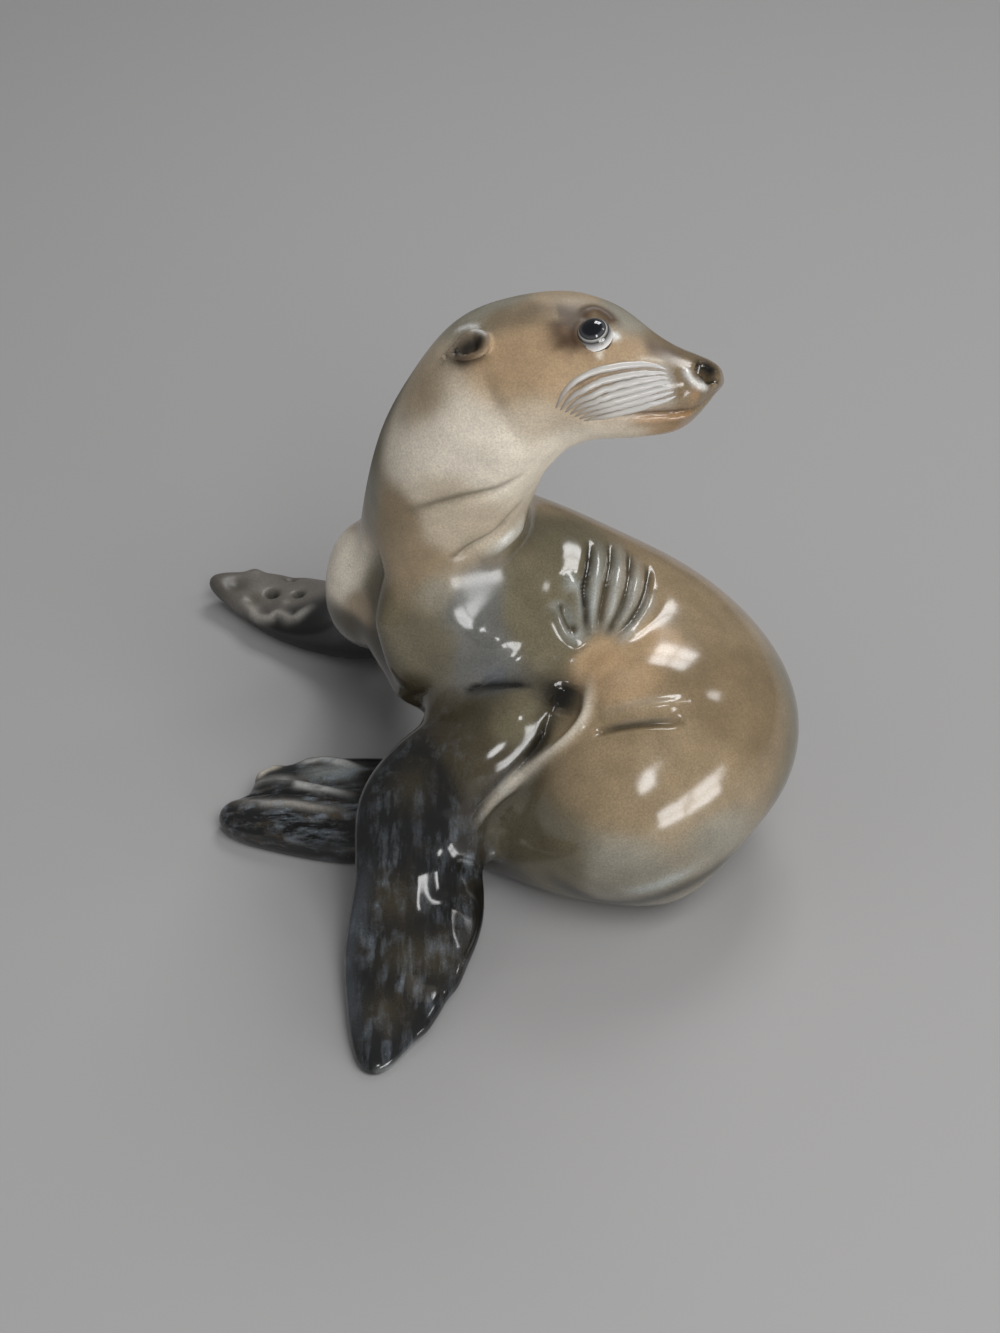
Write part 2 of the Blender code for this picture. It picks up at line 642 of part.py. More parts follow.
def main(clay_detail=CLAY_DETAIL, skin_detail=SKIN_DETAIL, triangles=MODEL_TRIANGLES):
    for old in list(bpy.data.objects):
        bpy.data.objects.remove(old)
    body = Limb("body", HAUNCH_TO_NECK + head_stations())
    near_arm = Limb("near_arm", NEAR_ARM)
    far_arm = Limb("far_arm", FAR_ARM)
    near_foot = Limb("near_foot", NEAR_FOOT)
    far_foot = Limb("far_foot", FAR_FOOT)
    limbs = [body, near_arm, far_arm, near_foot, far_foot]
    clay = fused([limb.build() for limb in limbs], "clay", clay_detail, JOINT_PASSES, FILLET)
    valley = curve_through(body.marks(STERNUM_MARKS))
    softened(clay, valley, SHOULDER_REACH, SHOULDER_PASSES)
    carver = Carver(clay)
    for turn in (facing, mirrored):
        carve_socket(carver, body, turn)
    carver.finish()
    features = []
    for turn, lifts in ((facing, NEAR_EAR_LIFTS), (mirrored, FAR_EAR_LIFTS)):
        features += [ear(body, turn, lifts).build(), eyeball(body, turn(EYE_MARK))]
    figure = fused([clay, *features], "sea_lion", skin_detail, SKIN_PASSES)
    carver = Carver(figure)
    for turn in (facing, mirrored):
        carve_face(carver, body, turn)
    carve_body(carver, body)
    carve_arms(carver, near_arm, far_arm)
    carve_feet(carver, near_foot, far_foot)
    carver.finish()
    if triangles:
        thin = figure.modifiers.new("thin", "DECIMATE")
        thin.ratio = triangles / (2 * len(figure.data.polygons))
        applied(figure)
    flat_foot(figure)
    figure.data.shade_smooth()
    figure.data.materials.append(glazed_porcelain())
    display(figure)
    return figure


if __name__ == "__main__":
    main()
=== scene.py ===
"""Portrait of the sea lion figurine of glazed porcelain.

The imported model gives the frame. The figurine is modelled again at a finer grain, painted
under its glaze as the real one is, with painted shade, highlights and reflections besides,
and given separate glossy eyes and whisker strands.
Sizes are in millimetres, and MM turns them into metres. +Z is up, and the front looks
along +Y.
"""

from __future__ import annotations

import logging
import math
from dataclasses import dataclass
from enum import Enum
from typing import Any, Callable, Iterable, NamedTuple, Sequence

import bmesh
import bpy
import numpy as np
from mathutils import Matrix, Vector
from mathutils.bvhtree import BVHTree


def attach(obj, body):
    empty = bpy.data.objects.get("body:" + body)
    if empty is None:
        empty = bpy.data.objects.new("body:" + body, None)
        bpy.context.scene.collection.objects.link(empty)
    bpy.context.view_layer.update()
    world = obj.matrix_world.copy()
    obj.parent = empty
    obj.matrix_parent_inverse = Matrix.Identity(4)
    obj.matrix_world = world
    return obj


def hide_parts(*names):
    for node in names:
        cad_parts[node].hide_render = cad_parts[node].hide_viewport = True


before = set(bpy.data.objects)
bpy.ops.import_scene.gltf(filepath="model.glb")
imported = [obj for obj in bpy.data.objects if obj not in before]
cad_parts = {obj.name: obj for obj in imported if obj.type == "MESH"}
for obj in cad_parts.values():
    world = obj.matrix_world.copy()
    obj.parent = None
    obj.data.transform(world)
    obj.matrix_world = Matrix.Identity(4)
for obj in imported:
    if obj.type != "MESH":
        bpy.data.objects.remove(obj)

log = logging.getLogger("figurine")

MM = 0.001
BODY = "root"

Mark = tuple[float, float]
Point = tuple[float, float, float]
Line = list[Point]
Turn = Callable[[Mark], Mark]
UP: Point = (0, 0, 1)


def unit(vector: Any) -> np.ndarray:
    """The vector at length one."""
    vector = np.asarray(vector, float)
    return vector / np.linalg.norm(vector)


def spline_matrix(count: int, closed: bool) -> np.ndarray:
    """What a uniform cubic B-spline's control points give at the stations themselves."""
    matrix = (4 * np.eye(count) + np.eye(count, k=1) + np.eye(count, k=-1)) / 6
    if closed:
        matrix[0, -1] = matrix[-1, 0] = 1 / 6
    else:
        matrix[0] = matrix[-1] = 0
        matrix[0, 0] = matrix[-1, -1] = 1
    return matrix


def spline_weights(place: float, count: int) -> tuple[int, np.ndarray]:
    """First index and four weights of a uniform cubic B-spline at a place between stations."""
    first = min(max(int(place), 1), count - 3)
    f = place - first
    weights = ((1 - f) ** 3, 3 * f**3 - 6 * f**2 + 4, -3 * f**3 + 3 * f**2 + 3 * f + 1, f**3)
    return first - 1, np.array(weights) / 6


def curve_through(points: Sequence[Any], steps: int = 8) -> np.ndarray:
    """A smooth row of points through the given ones (Catmull-Rom).

    Args:
        points: the points, two or more.
        steps: how many points each span gets.

    Returns:
        The row, one point per line.
    """
    points = np.asarray(points, float)
    if len(points) < 3:
        return np.linspace(points[0], points[-1], steps + 1)
    padded = np.vstack((2 * points[0] - points[1], points, 2 * points[-1] - points[-2]))
    row = []
    for a, b, c, d in zip(padded, padded[1:], padded[2:], padded[3:]):
        for t in np.arange(steps) / steps:
            row.append(
                0.5 * (2 * b + (c - a) * t + (2 * a - 5 * b + 4 * c - d) * t**2)
                + 0.5 * (3 * b - a - 3 * c + d) * t**3
            )
    row.append(points[-1])
    return np.array(row)


def linked(name: str, data: Any) -> bpy.types.Object:
    """A new object of this mesh, lamp or camera in the scene."""
    made = bpy.data.objects.new(name, data)
    bpy.context.scene.collection.objects.link(made)
    return made


def mesh_from(form: bmesh.types.BMesh, name: str) -> bpy.types.Mesh:
    """The form as a new mesh. The form itself is freed."""
    mesh = bpy.data.meshes.new(name)
    form.to_mesh(mesh)
    form.free()
    return mesh


def smooth(obj: bpy.types.Object, passes: int) -> bpy.types.Modifier:
    """Adds a Smooth modifier of so many passes."""
    soften = obj.modifiers.new("soften", "SMOOTH")
    soften.iterations = passes
    return soften


def applied(obj: bpy.types.Object) -> bpy.types.Object:
    """The object with its modifiers made real."""
    graph = bpy.context.evaluated_depsgraph_get()
    mesh = bpy.data.meshes.new_from_object(obj.evaluated_get(graph))
    obj.modifiers.clear()
    obj.data = mesh
    return obj


@dataclass(frozen=True)
class Station:
    """One cross-section of a limb: an egg-shaped ring about a point of its middle line."""

    centre: Point
    crest: Point
    half_width: float
    crest_height: float
    keel_height: float


RING_POINTS = 12
CAGE_LEVELS = 3


class Limb:
    """A smooth closed form through a row of stations, built as a cage with subdivision."""

    def __init__(self, name: str, stations: Sequence[Station]) -> None:
        """Keeps the stations and fits the cage to them."""
        self.name = name
        self.stations = list(stations)
        self.cage = self.fitted_cage()

    def axes(self, index: int) -> tuple[np.ndarray, np.ndarray]:
        """Side and crest directions of a station, square to the middle line."""
        before = self.stations[max(index - 1, 0)].centre
        after = self.stations[min(index + 1, len(self.stations) - 1)].centre
        along = unit(np.subtract(after, before))
        side = unit(np.cross(along, self.stations[index].crest))
        return side, np.cross(side, along)

    def fitted_cage(self) -> np.ndarray:
        """Control points, fitted so that the subdivided skin passes through the stations."""
        angles = np.arange(RING_POINTS) * math.tau / RING_POINTS
        rings = []
        for index, station in enumerate(self.stations):
            side, crest = self.axes(index)
            rise = np.where(np.cos(angles) > 0, station.crest_height, station.keel_height)
            across = np.outer(np.sin(angles) * station.half_width, side)
            rings.append(across + np.outer(np.cos(angles) * rise, crest) + station.centre)
        count = len(rings)
        rings = np.linalg.solve(spline_matrix(count, False), np.reshape(rings, (count, -1)))
        rings = rings.reshape(count, RING_POINTS, 3).swapaxes(0, 1).reshape(RING_POINTS, -1)
        rings = np.linalg.solve(spline_matrix(RING_POINTS, True), rings)
        return rings.reshape(RING_POINTS, count, 3).swapaxes(0, 1)

    def skin_point(self, mark: Mark, lift: float = 0.0) -> np.ndarray:
        """The skin at a mark.

        Args:
            mark: place between stations, and degrees round from the crest.
            lift: how far outwards of the skin the point lies.

        Returns:
            The point.
        """
        place, angle = mark
        first, along = spline_weights(place, len(self.stations))
        turn = (angle / 360 % 1) * RING_POINTS
        start = int(turn)
        _, around = spline_weights(turn - start + 1, 4)
        columns = [(start + k - 1) % RING_POINTS for k in range(4)]
        rows = self.cage[first : first + 4]
        point = np.einsum("i,j,ijk->k", along, around, rows[:, columns])
        middle = along @ rows.mean(axis=1)
        return point + unit(point - middle) * lift

    def marks(self, marks: Iterable[Mark], lift: float = 0.0) -> list[np.ndarray]:
        """The skin at several marks."""
        return [self.skin_point(mark, lift) for mark in marks]

    def build(self) -> bpy.types.Object:
        """The cage as a mesh object under a Subdivision Surface."""
        form = bmesh.new()
        rows = [[form.verts.new(point * MM) for point in ring] for ring in self.cage]
        for lower, upper in zip(rows, rows[1:]):
            for k in range(RING_POINTS):
                after = (k + 1) % RING_POINTS
                form.faces.new((lower[k], lower[after], upper[after], upper[k]))
        form.faces.new(rows[0][::-1])
        form.faces.new(rows[-1])
        bmesh.ops.recalc_face_normals(form, faces=form.faces)
        made = linked(self.name, mesh_from(form, self.name))
        skin = made.modifiers.new("skin", "SUBSURF")
        skin.levels = skin.render_levels = CAGE_LEVELS
        return made


def facing(mark: Mark) -> Mark:
    """A mark on the side of the head that faces the front."""
    return mark[0], mark[1]


def mirrored(mark: Mark) -> Mark:
    """The same mark on the head's other side."""
    return mark[0], 360 - mark[1]


class Anatomy:
    """The limbs that the figurine is made of, and the marks on their skins."""

    HEAD_PIVOT: Point = (-13.2, -3.0, 140.3)
    HEAD_FORWARD: Point = (0.97, -0.197, 0.14)
    HEAD_ROLL = 30.0

    HAUNCH_TO_NECK = [
        Station((-58, -17, 8), UP, 9, 6, 8),
        Station((-48, -18, 10), UP, 12, 9, 11),
        Station((-33, -20, 15), UP, 16, 15, 17),
        Station((-15, -28, 21), UP, 22, 22, 23),
        Station((2, -32, 31), UP, 32, 30, 36),
        Station((12, -22, 37), UP, 37, 34, 40),
        Station((13, -6, 38), UP, 38.5, 34, 41),
        Station((3, 6, 41), UP, 38, 35, 42),
        Station((-12, 12, 47), (0.1, 0, 1), 37, 35, 44),
        Station((-28, 14, 57), (0.4, 0, 1), 37, 33, 35),
        Station((-38, 12, 70), (0.8, 0, 0.6), 34, 29, 32),
        Station((-41.5, 10, 84), (1, 0, 0.2), 27, 24, 25.5),
        Station((-41.5, 8, 98), (1, 0, 0), 23, 21, 22.5),
        Station((-37.5, 5, 112), (0.9, 0, -0.4), 22, 20, 23.5),
        Station((-30.5, 2, 125), (0.8, 0, -0.7), 22, 17.5, 25),
        Station((-22.5, -1, 135.5), (0.4, -0.2, -0.9), 22, 17, 26),
    ]
    # Head sections: reach from the pivot, half width, jaw height, crown height
    HEAD_SECTIONS = [
        (0, 21.5, 15.2, 24.3),
        (9, 20, 13.2, 22.7),
        (17, 17, 13, 19),
        (23.5, 13.7, 12.5, 13.8),
        (30, 11.7, 11.2, 9.7),
        (35.5, 10, 7.0, 7.5),
        (40, 6.5, 1.6, 5.2),
        (41.7, 3, 0.5, 2.8),
    ]
    NEAR_ARM = [
        Station((-16, -8, 60), (-0.2, -0.6, 0.8), 13, 12, 12),
        Station((-18, -22, 56), (-0.2, -0.6, 0.8), 13, 11, 11),
        Station((-29, -30, 48), (-0.2, -0.6, 0.8), 14, 10, 10),
        Station((-42, -34, 39), (-0.2, -0.5, 0.85), 16, 8.5, 8.5),
        Station((-49.5, -40, 30), (-0.1, -0.4, 0.9), 17.5, 7, 7),
        Station((-50, -48.5, 21), (0.1, -0.3, 0.9), 17, 6, 6),
        Station((-50, -58, 13), (0.1, -0.2, 1), 17.7, 5, 9),
        Station((-53, -71, 8), (0, -0.1, 1), 16.5, 4, 9),
        Station((-56, -85, 5.5), UP, 13, 3.5, 6.5),
        Station((-59, -98, 4), UP, 8.2, 3, 5),
        Station((-61.5, -108.5, 2.5), UP, 3.2, 2, 3),
    ]
    FAR_ARM = [
        Station((-55, 13, 86), (-0.8, 0.3, 0.6), 7, 7, 7),
        Station((-60.5, 14, 75), (-0.8, 0.3, 0.6), 13, 13, 13),
        Station((-61, 19, 60), (-0.6, 0.4, 0.7), 16, 14, 15),
        Station((-58, 34, 43), (-0.2, 0.5, 0.8), 15, 12, 12),
        Station((-60, 53, 27), (-0.2, 0.4, 0.9), 13, 9, 10),
        Station((-68, 66, 14), (0, 0.2, 1), 13, 7, 11),
        Station((-80, 76, 9), UP, 14.5, 5, 10),
        Station((-92, 84, 7), UP, 14, 4, 8),
        Station((-104, 90, 7), UP, 10, 3.5, 6.5),
        Station((-113, 93, 8), UP, 5.5, 3, 4),
        Station((-118, 95, 8.5), UP, 2, 1.5, 1.5),
    ]
    NEAR_FOOT = [
        Station((-36, -19, 10), UP, 10, 9, 9),
        Station((-54, -20, 8.5), (0, -0.3, 1), 10.5, 9, 10),
        Station((-72, -18, 7.5), (0, -0.4, 1), 11.5, 8, 9),
        Station((-88, -15, 6.5), (0, -0.4, 1), 10, 7, 8),
        Station((-100, -13, 5), (0, -0.2, 1), 7, 5, 6),
        Station((-107, -11, 4.5), UP, 3, 3, 4),
    ]
    FAR_FOOT = [
        Station((-36, -8, 10), UP, 10, 8, 8),
        Station((-54, -6, 9), UP, 11, 7.5, 10),
        Station((-70, -4, 8), UP, 11, 7, 9),
        Station((-83, -2, 7), UP, 9, 6, 8),
        Station((-93, -2, 6), UP, 6, 5, 6),
        Station((-98, -2, 5), UP, 2.5, 2.5, 2.5),
    ]

    EYE: Mark = (17.33, 230)
    SOCKET = [(17.0, 215), (17.9, 240)]
    UPPER_LID = [(16.89, 226), (17, 214), (17.24, 206), (17.57, 208), (17.84, 214), (17.93, 221)]
    LOWER_LID = [(17, 235), (17.13, 239), (17.35, 241), (17.57, 239)]
    TEAR = [(17.92, 225), (18.07, 227), (17.92, 232)]
    TEAR_STREAK = [(17.42, 248), (17.7, 243), (17.89, 239)]
    TEMPLE_SHADE = [(16.42, 221), (16.61, 219), (16.88, 220)]
    CHEEK_SHADE = [(16.6, 239), (16.79, 243), (16.98, 244)]
    TEMPLE_BACK = [(16.53, 224), (16.62, 237), (16.81, 245)]
    TEMPLE_GLOW: Mark = (16.67, 233)
    SNOUT_SHADE = [(18.97, 223), (19.44, 217), (19.95, 213), (20.5, 222)]
    SNOUT_STRIPE = [(18.79, 243), (19.34, 238), (19.92, 235)]
    EAR = [(15.5, 226), (15.25, 222), (14.85, 213)]
    EAR_RIM = [(14.94, 194), (15.16, 200), (15.35, 211), (15.48, 225)]
    NOSTRIL = [(21.1, 222), (21.7, 233), (22.1, 262)]
    NOSTRIL_RIM = [(20.67, 232), (20.83, 254), (21.24, 271), (21.79, 297)]
    MOUTH = [(22.2, 340), (21.26, 335), (20.38, 311), (19.5, 303), (18.7, 303), (18.1, 304)]
    LIP = [(21.02, 332), (20.32, 316), (19.21, 311), (18.3, 310)]
    CHIN = [(18.72, 332), (19.8, 340), (20.58, 356)]
    MUZZLE_FRONT = [(20.89, 287), (21.32, 298)]
    CHEEK_FOLD = [(15.32, 237), (15.3, 247), (15.32, 256), (15.37, 266)]
    MUZZLE_PAD: Mark = (19.4, 274)
    PAD = [(20.34, 265), (19.66, 268), (18.95, 271), (17.93, 278)]
    TOP_WHISKER = [
        (20.32, 250), (19.46, 245), (18.61, 250), (17.61, 256), (17.05, 263), (16.71, 274), (16.39, 295),
    ]
    LOW_WHISKER = [
        (20.63, 283), (19.94, 288), (19.27, 292), (18.49, 298), (17.77, 303), (17.36, 306), (17.01, 310),
    ]

    NECK_FOLD = [(14.9, 318), (14.1, 288), (13.5, 264), (12.9, 246), (12.5, 228)]
    STERNUM = [(11.8, 204), (11.2, 210), (10.5, 216), (9.9, 222), (9.5, 240)]
    RUMP_UNDERCUT = [(3.9, 132), (4.6, 128), (5.2, 126), (6.0, 126), (7.0, 128)]
    DIGIT_GROOVES = [
        [(5.6, 345), (6.2, 338), (6.9, 318), (7.3, 295)],
        [(5.5, 12), (6.6, 357), (7.5, 336), (8.3, 300)],
        [(6.1, 39), (7.2, 21), (8.2, 0), (9.0, 315)],
    ]

    def __init__(self) -> None:
        """Fits every limb."""
        self.body = Limb("body", self.HAUNCH_TO_NECK + self.head_stations())
        self.near_arm = Limb("near_arm", self.NEAR_ARM)
        self.far_arm = Limb("far_arm", self.FAR_ARM)
        self.near_foot = Limb("near_foot", self.NEAR_FOOT)
        self.far_foot = Limb("far_foot", self.FAR_FOOT)

    @property
    def limbs(self) -> list[Limb]:
        """Every limb."""
        return [self.body, self.near_arm, self.far_arm, self.near_foot, self.far_foot]

    def head_stations(self) -> list[Station]:
        """The head's sections, set along its own line and rolled about it."""
        roll = math.radians(self.HEAD_ROLL)
        forward = unit(self.HEAD_FORWARD)
        jaw_side = (0.0, -math.sin(roll), -math.cos(roll))
        rows = []
        for reach, half_width, jaw, crown in self.HEAD_SECTIONS:
            centre = tuple(np.array(self.HEAD_PIVOT) + forward * reach)
            rows.append(Station(centre, jaw_side, half_width, jaw, crown))
        return rows


class Skin:
    """The points, normals and surface of a dense mesh, in millimetres."""

    def __init__(self, obj: bpy.types.Object) -> None:
        """Reads the mesh."""
        self.mesh = obj.data
        count = len(self.mesh.vertices)
        flat = np.empty(count * 3, np.float32)
        self.mesh.vertices.foreach_get("co", flat)
        self.points = flat.reshape(-1, 3).astype(float) / MM
        self.mesh.vertex_normals.foreach_get("vector", flat)
        self.normals = flat.reshape(-1, 3).astype(float)
        corners = [tuple(face.vertices) for face in self.mesh.polygons]
        self.surface = BVHTree.FromPolygons(self.points.tolist(), corners)

    def distances(self, point: Any) -> np.ndarray:
        """How far each point of the mesh lies from a place."""
        return np.linalg.norm(self.points - np.asarray(point, float), axis=1)

    def nearest(self, point: Any) -> np.ndarray:
        """The nearest point of the skin."""
        return np.array(self.surface.find_nearest(Vector(point))[0])

    def sunk(self, point: Any, depth: float) -> np.ndarray:
        """The nearest point of the skin, taken inwards by a depth."""
        place, normal, _, _ = self.surface.find_nearest(Vector(point))
        return np.array(place - normal * depth)

    def along(self, points: Sequence[Any], reach: float) -> tuple[Any, Any, Any]:
        """What lies near a path on the skin.

        Args:
            points: the path, which is first laid on the skin.
            reach: how far from it to look.

        Returns:
            Indices of the points near it, their distances, and their shares of its length.
        """
        path = np.array([self.nearest(point) for point in curve_through(points)])
        near = np.all(self.points > path.min(0) - reach, axis=1)
        near &= np.all(self.points < path.max(0) + reach, axis=1)
        near = np.flatnonzero(near)
        best = np.full(len(near), np.inf)
        share = np.zeros(len(near))
        for index, (start, end) in enumerate(zip(path, path[1:])):
            span = end - start
            offset = self.points[near] - start
            step = np.clip(offset @ span / max(span @ span, 1e-9), 0, 1)
            distance = np.linalg.norm(offset - np.outer(step, span), axis=1)
            closer = distance < best
            best[closer] = distance[closer]
            share[closer] = (index + step[closer]) / (len(path) - 1)
        return near, best, share


class Cut(NamedTuple):
    """A stroke of the chisel along points on the skin."""

    points: Line
    height: float
    width: float
    sharpness: float = 2.0
    ends: float = 0.25


def tapered(share: np.ndarray, ends: float) -> Any:
    """One along the middle of a stroke, down to nothing at its two ends."""
    return np.clip(np.minimum(share, 1 - share) / ends, 0, 1) if ends else 1.0


class Chisel(Skin):
    """Strokes and dabs that move the points of a dense mesh along its normals."""

    def __init__(self, obj: bpy.types.Object) -> None:
        """Starts with nothing moved."""
        super().__init__(obj)
        self.rise = np.zeros(len(self.points))

    def stroke(
        self,
        points: Sequence[Any],
        height: float,
        width: float,
        sharpness: float = 2.0,
        ends: float = 0.25,
    ) -> None:
        """Raises the skin along a path, or cuts it where height is below zero.

        Args:
            points: the path.
            height: how far the skin rises.
            width: how wide the stroke is, out to where it has all but gone.
            sharpness: two for a soft stroke, more for a flat top with steep sides.
            ends: the share of the path over which it fades at each end.
        """
        near, distance, share = self.along(points, 3 * width)
        shape = np.exp(-((distance / width) ** sharpness))
        self.rise[near] += height * shape * tapered(share, ends)

    def dab(self, point: Any, height: float, radius: float) -> None:
        """Raises a round spot, or presses it in where height is below zero."""
        self.rise += height * np.exp(-((self.distances(self.nearest(point)) / radius) ** 2))

    def finish(self) -> None:
        """Moves the mesh's points."""
        moved = self.points + self.normals * self.rise[:, None]
        self.mesh.vertices.foreach_set("co", (moved * MM).ravel())
        self.mesh.update()


FLANK_RIDGES: list[Line] = [
    [(-15.4, -8.6, 77), (-12.5, -10.8, 73.7), (-8.8, -15.6, 70.7), (-7, -16.9, 68.1)],
    [(-10.2, 1.1, 80), (-9.2, -3.4, 77.1), (-7.1, -8.8, 73.5), (-5.9, -17.4, 67.8)],
    [(-1.6, 16.2, 79.4), (-2.5, 2.3, 79.2), (-3.4, -5.2, 77.1), (-4, -10.9, 73.8), (-3, -14.3, 69.7)],
    [(3.7, 18.9, 76.9), (3.3, 6.1, 77.8), (2, -3.8, 76.1), (0.7, -10.6, 73.6), (-1.4, -15.1, 69.7)],
    [(8.2, 13.8, 75.8), (7.8, 2.5, 76.4), (6.2, -5, 74.3), (3.5, -10.6, 70.9), (0.2, -16, 68.7)],
    [(12.4, 1.3, 73), (11.1, -4.6, 72), (8.8, -9.8, 70.6), (5.4, -15.5, 70), (1.9, -19.4, 69.3)],
]
FLANK_GROOVES: list[Line] = [
    [(-12.5, -8.7, 77.1), (-10.4, -12.8, 73.6), (-8.3, -15.5, 70.3)],
    [(-4.3, 14.6, 80.6), (-5, 5.5, 78.2), (-6, -3.5, 77.2), (-6.1, -9, 73.7), (-5.1, -15.7, 69.1)],
    [(0.7, 17, 78.2), (1, 8.5, 77.3), (-0.1, -0.2, 76.4), (-1.8, -7.7, 72.7), (-2.5, -14.2, 70)],
    [(5.9, 17, 76.2), (6.1, 7.4, 75.5), (4.7, -2.3, 73.7), (2.1, -10.2, 71.9), (-0.9, -15.6, 69.1)],
    [(11.4, 11.8, 74.6), (10.9, 4.9, 73.3), (9, -3.5, 72.2), (6.4, -9.5, 71.1), (2.3, -15.3, 68.8)],
]
NECK_CREASE: Line = [
    (-41.8, -14.5, 95.3), (-38.2, -13.9, 95.4), (-34, -13.5, 98), (-29.1, -11.9, 101),
    (-25.2, -11.4, 106.3), (-22.2, -10.9, 111.2),
]
NECK_ROLL: Line = [
    (-33.5, -12.6, 92.9), (-28.3, -9.5, 95.5), (-24.7, -6.3, 98), (-21.3, -3.1, 102.1),
]
# A painted highlight along the neck roll
PAINTED_ROLL_HIGHLIGHT: Line = [(-29.1, -10.1, 95.9), (-27, -8.6, 97.7), (-25, -7, 100.1)]
NECK_VALLEY: Line = [(-27, -8.5, 88), (-23.1, -2.4, 89.5), (-19.8, 9.2, 88.7), (-18.6, 23.1, 85.5)]
# Broad forms: place, height and radius
SWELLINGS: list[tuple[Point, float, float]] = [
    ((-33.5, -12.6, 92.3), -1.8, 8),
    ((-45.1, -17.1, 78), 3.2, 10),
    ((-31, -17.1, 79), -0.6, 5.5),
    ((-28.5, -19.5, 72), 2.2, 5.5),
    ((-35.5, -40, 49), 3.0, 9),
    ((-24.4, -34.7, 59.7), 1.6, 5),
]
# Where the far shoulder runs into the chest
SHOULDER_SEAM: Line = [
    (-58.9, -6.1, 83.4), (-57.7, -10, 73.1), (-55.4, -13.1, 63.8), (-52.3, -11.1, 51.3),
    (-48.7, -15.9, 47.3),
]
ARM_CREASE: Line = [
    (-38.4, -23.1, 57.5), (-34.7, -23.3, 59), (-31.2, -23.9, 60.2), (-25.2, -25.9, 62.1),
    (-19.2, -28.9, 63.5),
]
ARM_WRINKLE: Line = [(-33.6, -23.2, 60.9), (-29.6, -23.4, 62.8), (-25.7, -24.4, 63.9)]
ARMPIT: Line = [(-11, -26.6, 64.3), (-12.1, -29.9, 61.9), (-14.8, -33.4, 59)]
WEB_RIDGE: Line = [
    (-5.3, -25.1, 65.8), (-5.7, -32.7, 64.1), (-6.6, -38, 61.7), (-11.2, -41.6, 57),
    (-19.2, -42.3, 48.4), (-24.7, -43.6, 43.7), (-30.4, -45.8, 38.7), (-34.6, -48, 30.9),
]
ARM_EDGE: Line = [
    (-13.7, -31.4, 61.4), (-15.5, -34.9, 57.6), (-17.6, -38.3, 53.6), (-22.6, -41.4, 47.7),
    (-28.3, -44, 43.1), (-34.1, -46.4, 37.8), (-37.3, -48.5, 32.8),
]
HAUNCH_RIDGE: Line = [
    (-2.2, -38.9, 62.1), (6.6, -38.6, 64.2), (14.3, -38.1, 64.8), (20.8, -36.6, 65.5),
]
HAUNCH_LOW: Line = [
    (-4.5, -42.2, 59.1), (2.7, -41.7, 60.7), (10.6, -41.7, 62.1), (19.4, -41.9, 62.9),
]
HAUNCH_TOP: Line = [(-1.4, -36.6, 63.6), (5.3, -37.2, 65.4), (11.7, -37.4, 66.2)]
DIGIT_RIDGES: list[Line] = [
    [(-45.1, -46.5, 34.8), (-44.9, -51, 26.5), (-44.6, -56.9, 19.4), (-43, -66.6, 12.4),
     (-40.8, -79.4, 8.5)],
    [(-50.2, -47.7, 30.7), (-50.7, -54.7, 22.8), (-50.9, -61, 16.1), (-48.9, -72.1, 10.5),
     (-47, -90.7, 7)],
    [(-40.9, -47.3, 35.5), (-41.2, -50.5, 26.1), (-39.1, -56.1, 19.1)],
]
KNUCKLES: list[Line] = [
    [(-44.9, -54.5, 22.5), (-44.6, -57.5, 19)],
    [(-50.7, -56, 21.5), (-50.9, -60, 17)],
    [(-42.2, -63.6, 13.9), (-41.9, -68.5, 11.4)],
    [(-40.3, -75.3, 9.2), (-39.7, -80.5, 7.1)],
    [(-46.1, -88.4, 6.9), (-47, -94, 5.3)],
    [(-39.1, -55, 20), (-39.1, -57, 18)],
]
FAR_RIM: Line = [
    (-108.2, 83.4, 8.6), (-105.1, 81.9, 7.4), (-102.1, 75.4, 8.4), (-98.3, 73.5, 9.9),
    (-95.4, 74.8, 10.1), (-90.9, 70.7, 10.5), (-87.6, 72.9, 11.9), (-84.2, 76.5, 12.6),
]
FAR_TIP: Point = (-116, 90, 3)
# Hollows of the far flipper: place, depth and radius
FAR_HOLLOWS: list[tuple[Point, float, float]] = [
    ((-97.6, 85.2, 8.3), 3.6, 1.7),
    ((-89.5, 83.6, 9.5), 3.0, 1.5),
    ((-93, 94.5, 7.6), 1.8, 2.6),
    ((-109.2, 90.5, 10.1), 1.6, 3.4),
    ((-103.9, 83.1, 8.8), 1.2, 2.6),
    ((-104, 97.8, 8.3), -1.2, 2.5),
    ((-94.5, 80.1, 9.9), -0.8, 2.2),
]
HIND_RIDGES: list[Line] = [
    [(-97.6, -2.7, 6.8), (-88.1, -6.1, 10.4), (-79, -11.8, 14.5), (-67.1, -16.7, 15.8)],
    [(-104.1, -9.7, 7.1), (-95, -14.8, 10.9), (-87.3, -16.8, 13.7), (-78.6, -19.8, 15.2),
     (-67.9, -22.3, 15)],
    [(-86.4, 2.3, 10.2), (-77.6, 3.1, 11.8), (-65.4, -4.9, 14.9)],
    [(-97, -1.2, 7.8), (-93.6, 2.1, 8.6), (-88.6, 2.6, 10)],
]
HIND_GROOVES: list[Line] = [
    [(-102.8, -8.4, 6.9), (-91.4, -10.4, 12.3), (-78.8, -14.6, 14.7), (-66.7, -19.5, 15.5)],
    [(-95, -2.2, 8), (-88.1, -4.6, 12.1), (-78.2, -7.6, 12.4), (-66.8, -10.6, 13.8)],
    [(-91.2, -18.6, 10.6), (-80.5, -21.6, 11.4), (-70, -24.5, 11)],
]
# A painted highlight along the hind flippers
PAINTED_HIND_HIGHLIGHT: Line = [(-86, -3, 13.5), (-76, -3.4, 14.7), (-66.8, -5.2, 14.7)]
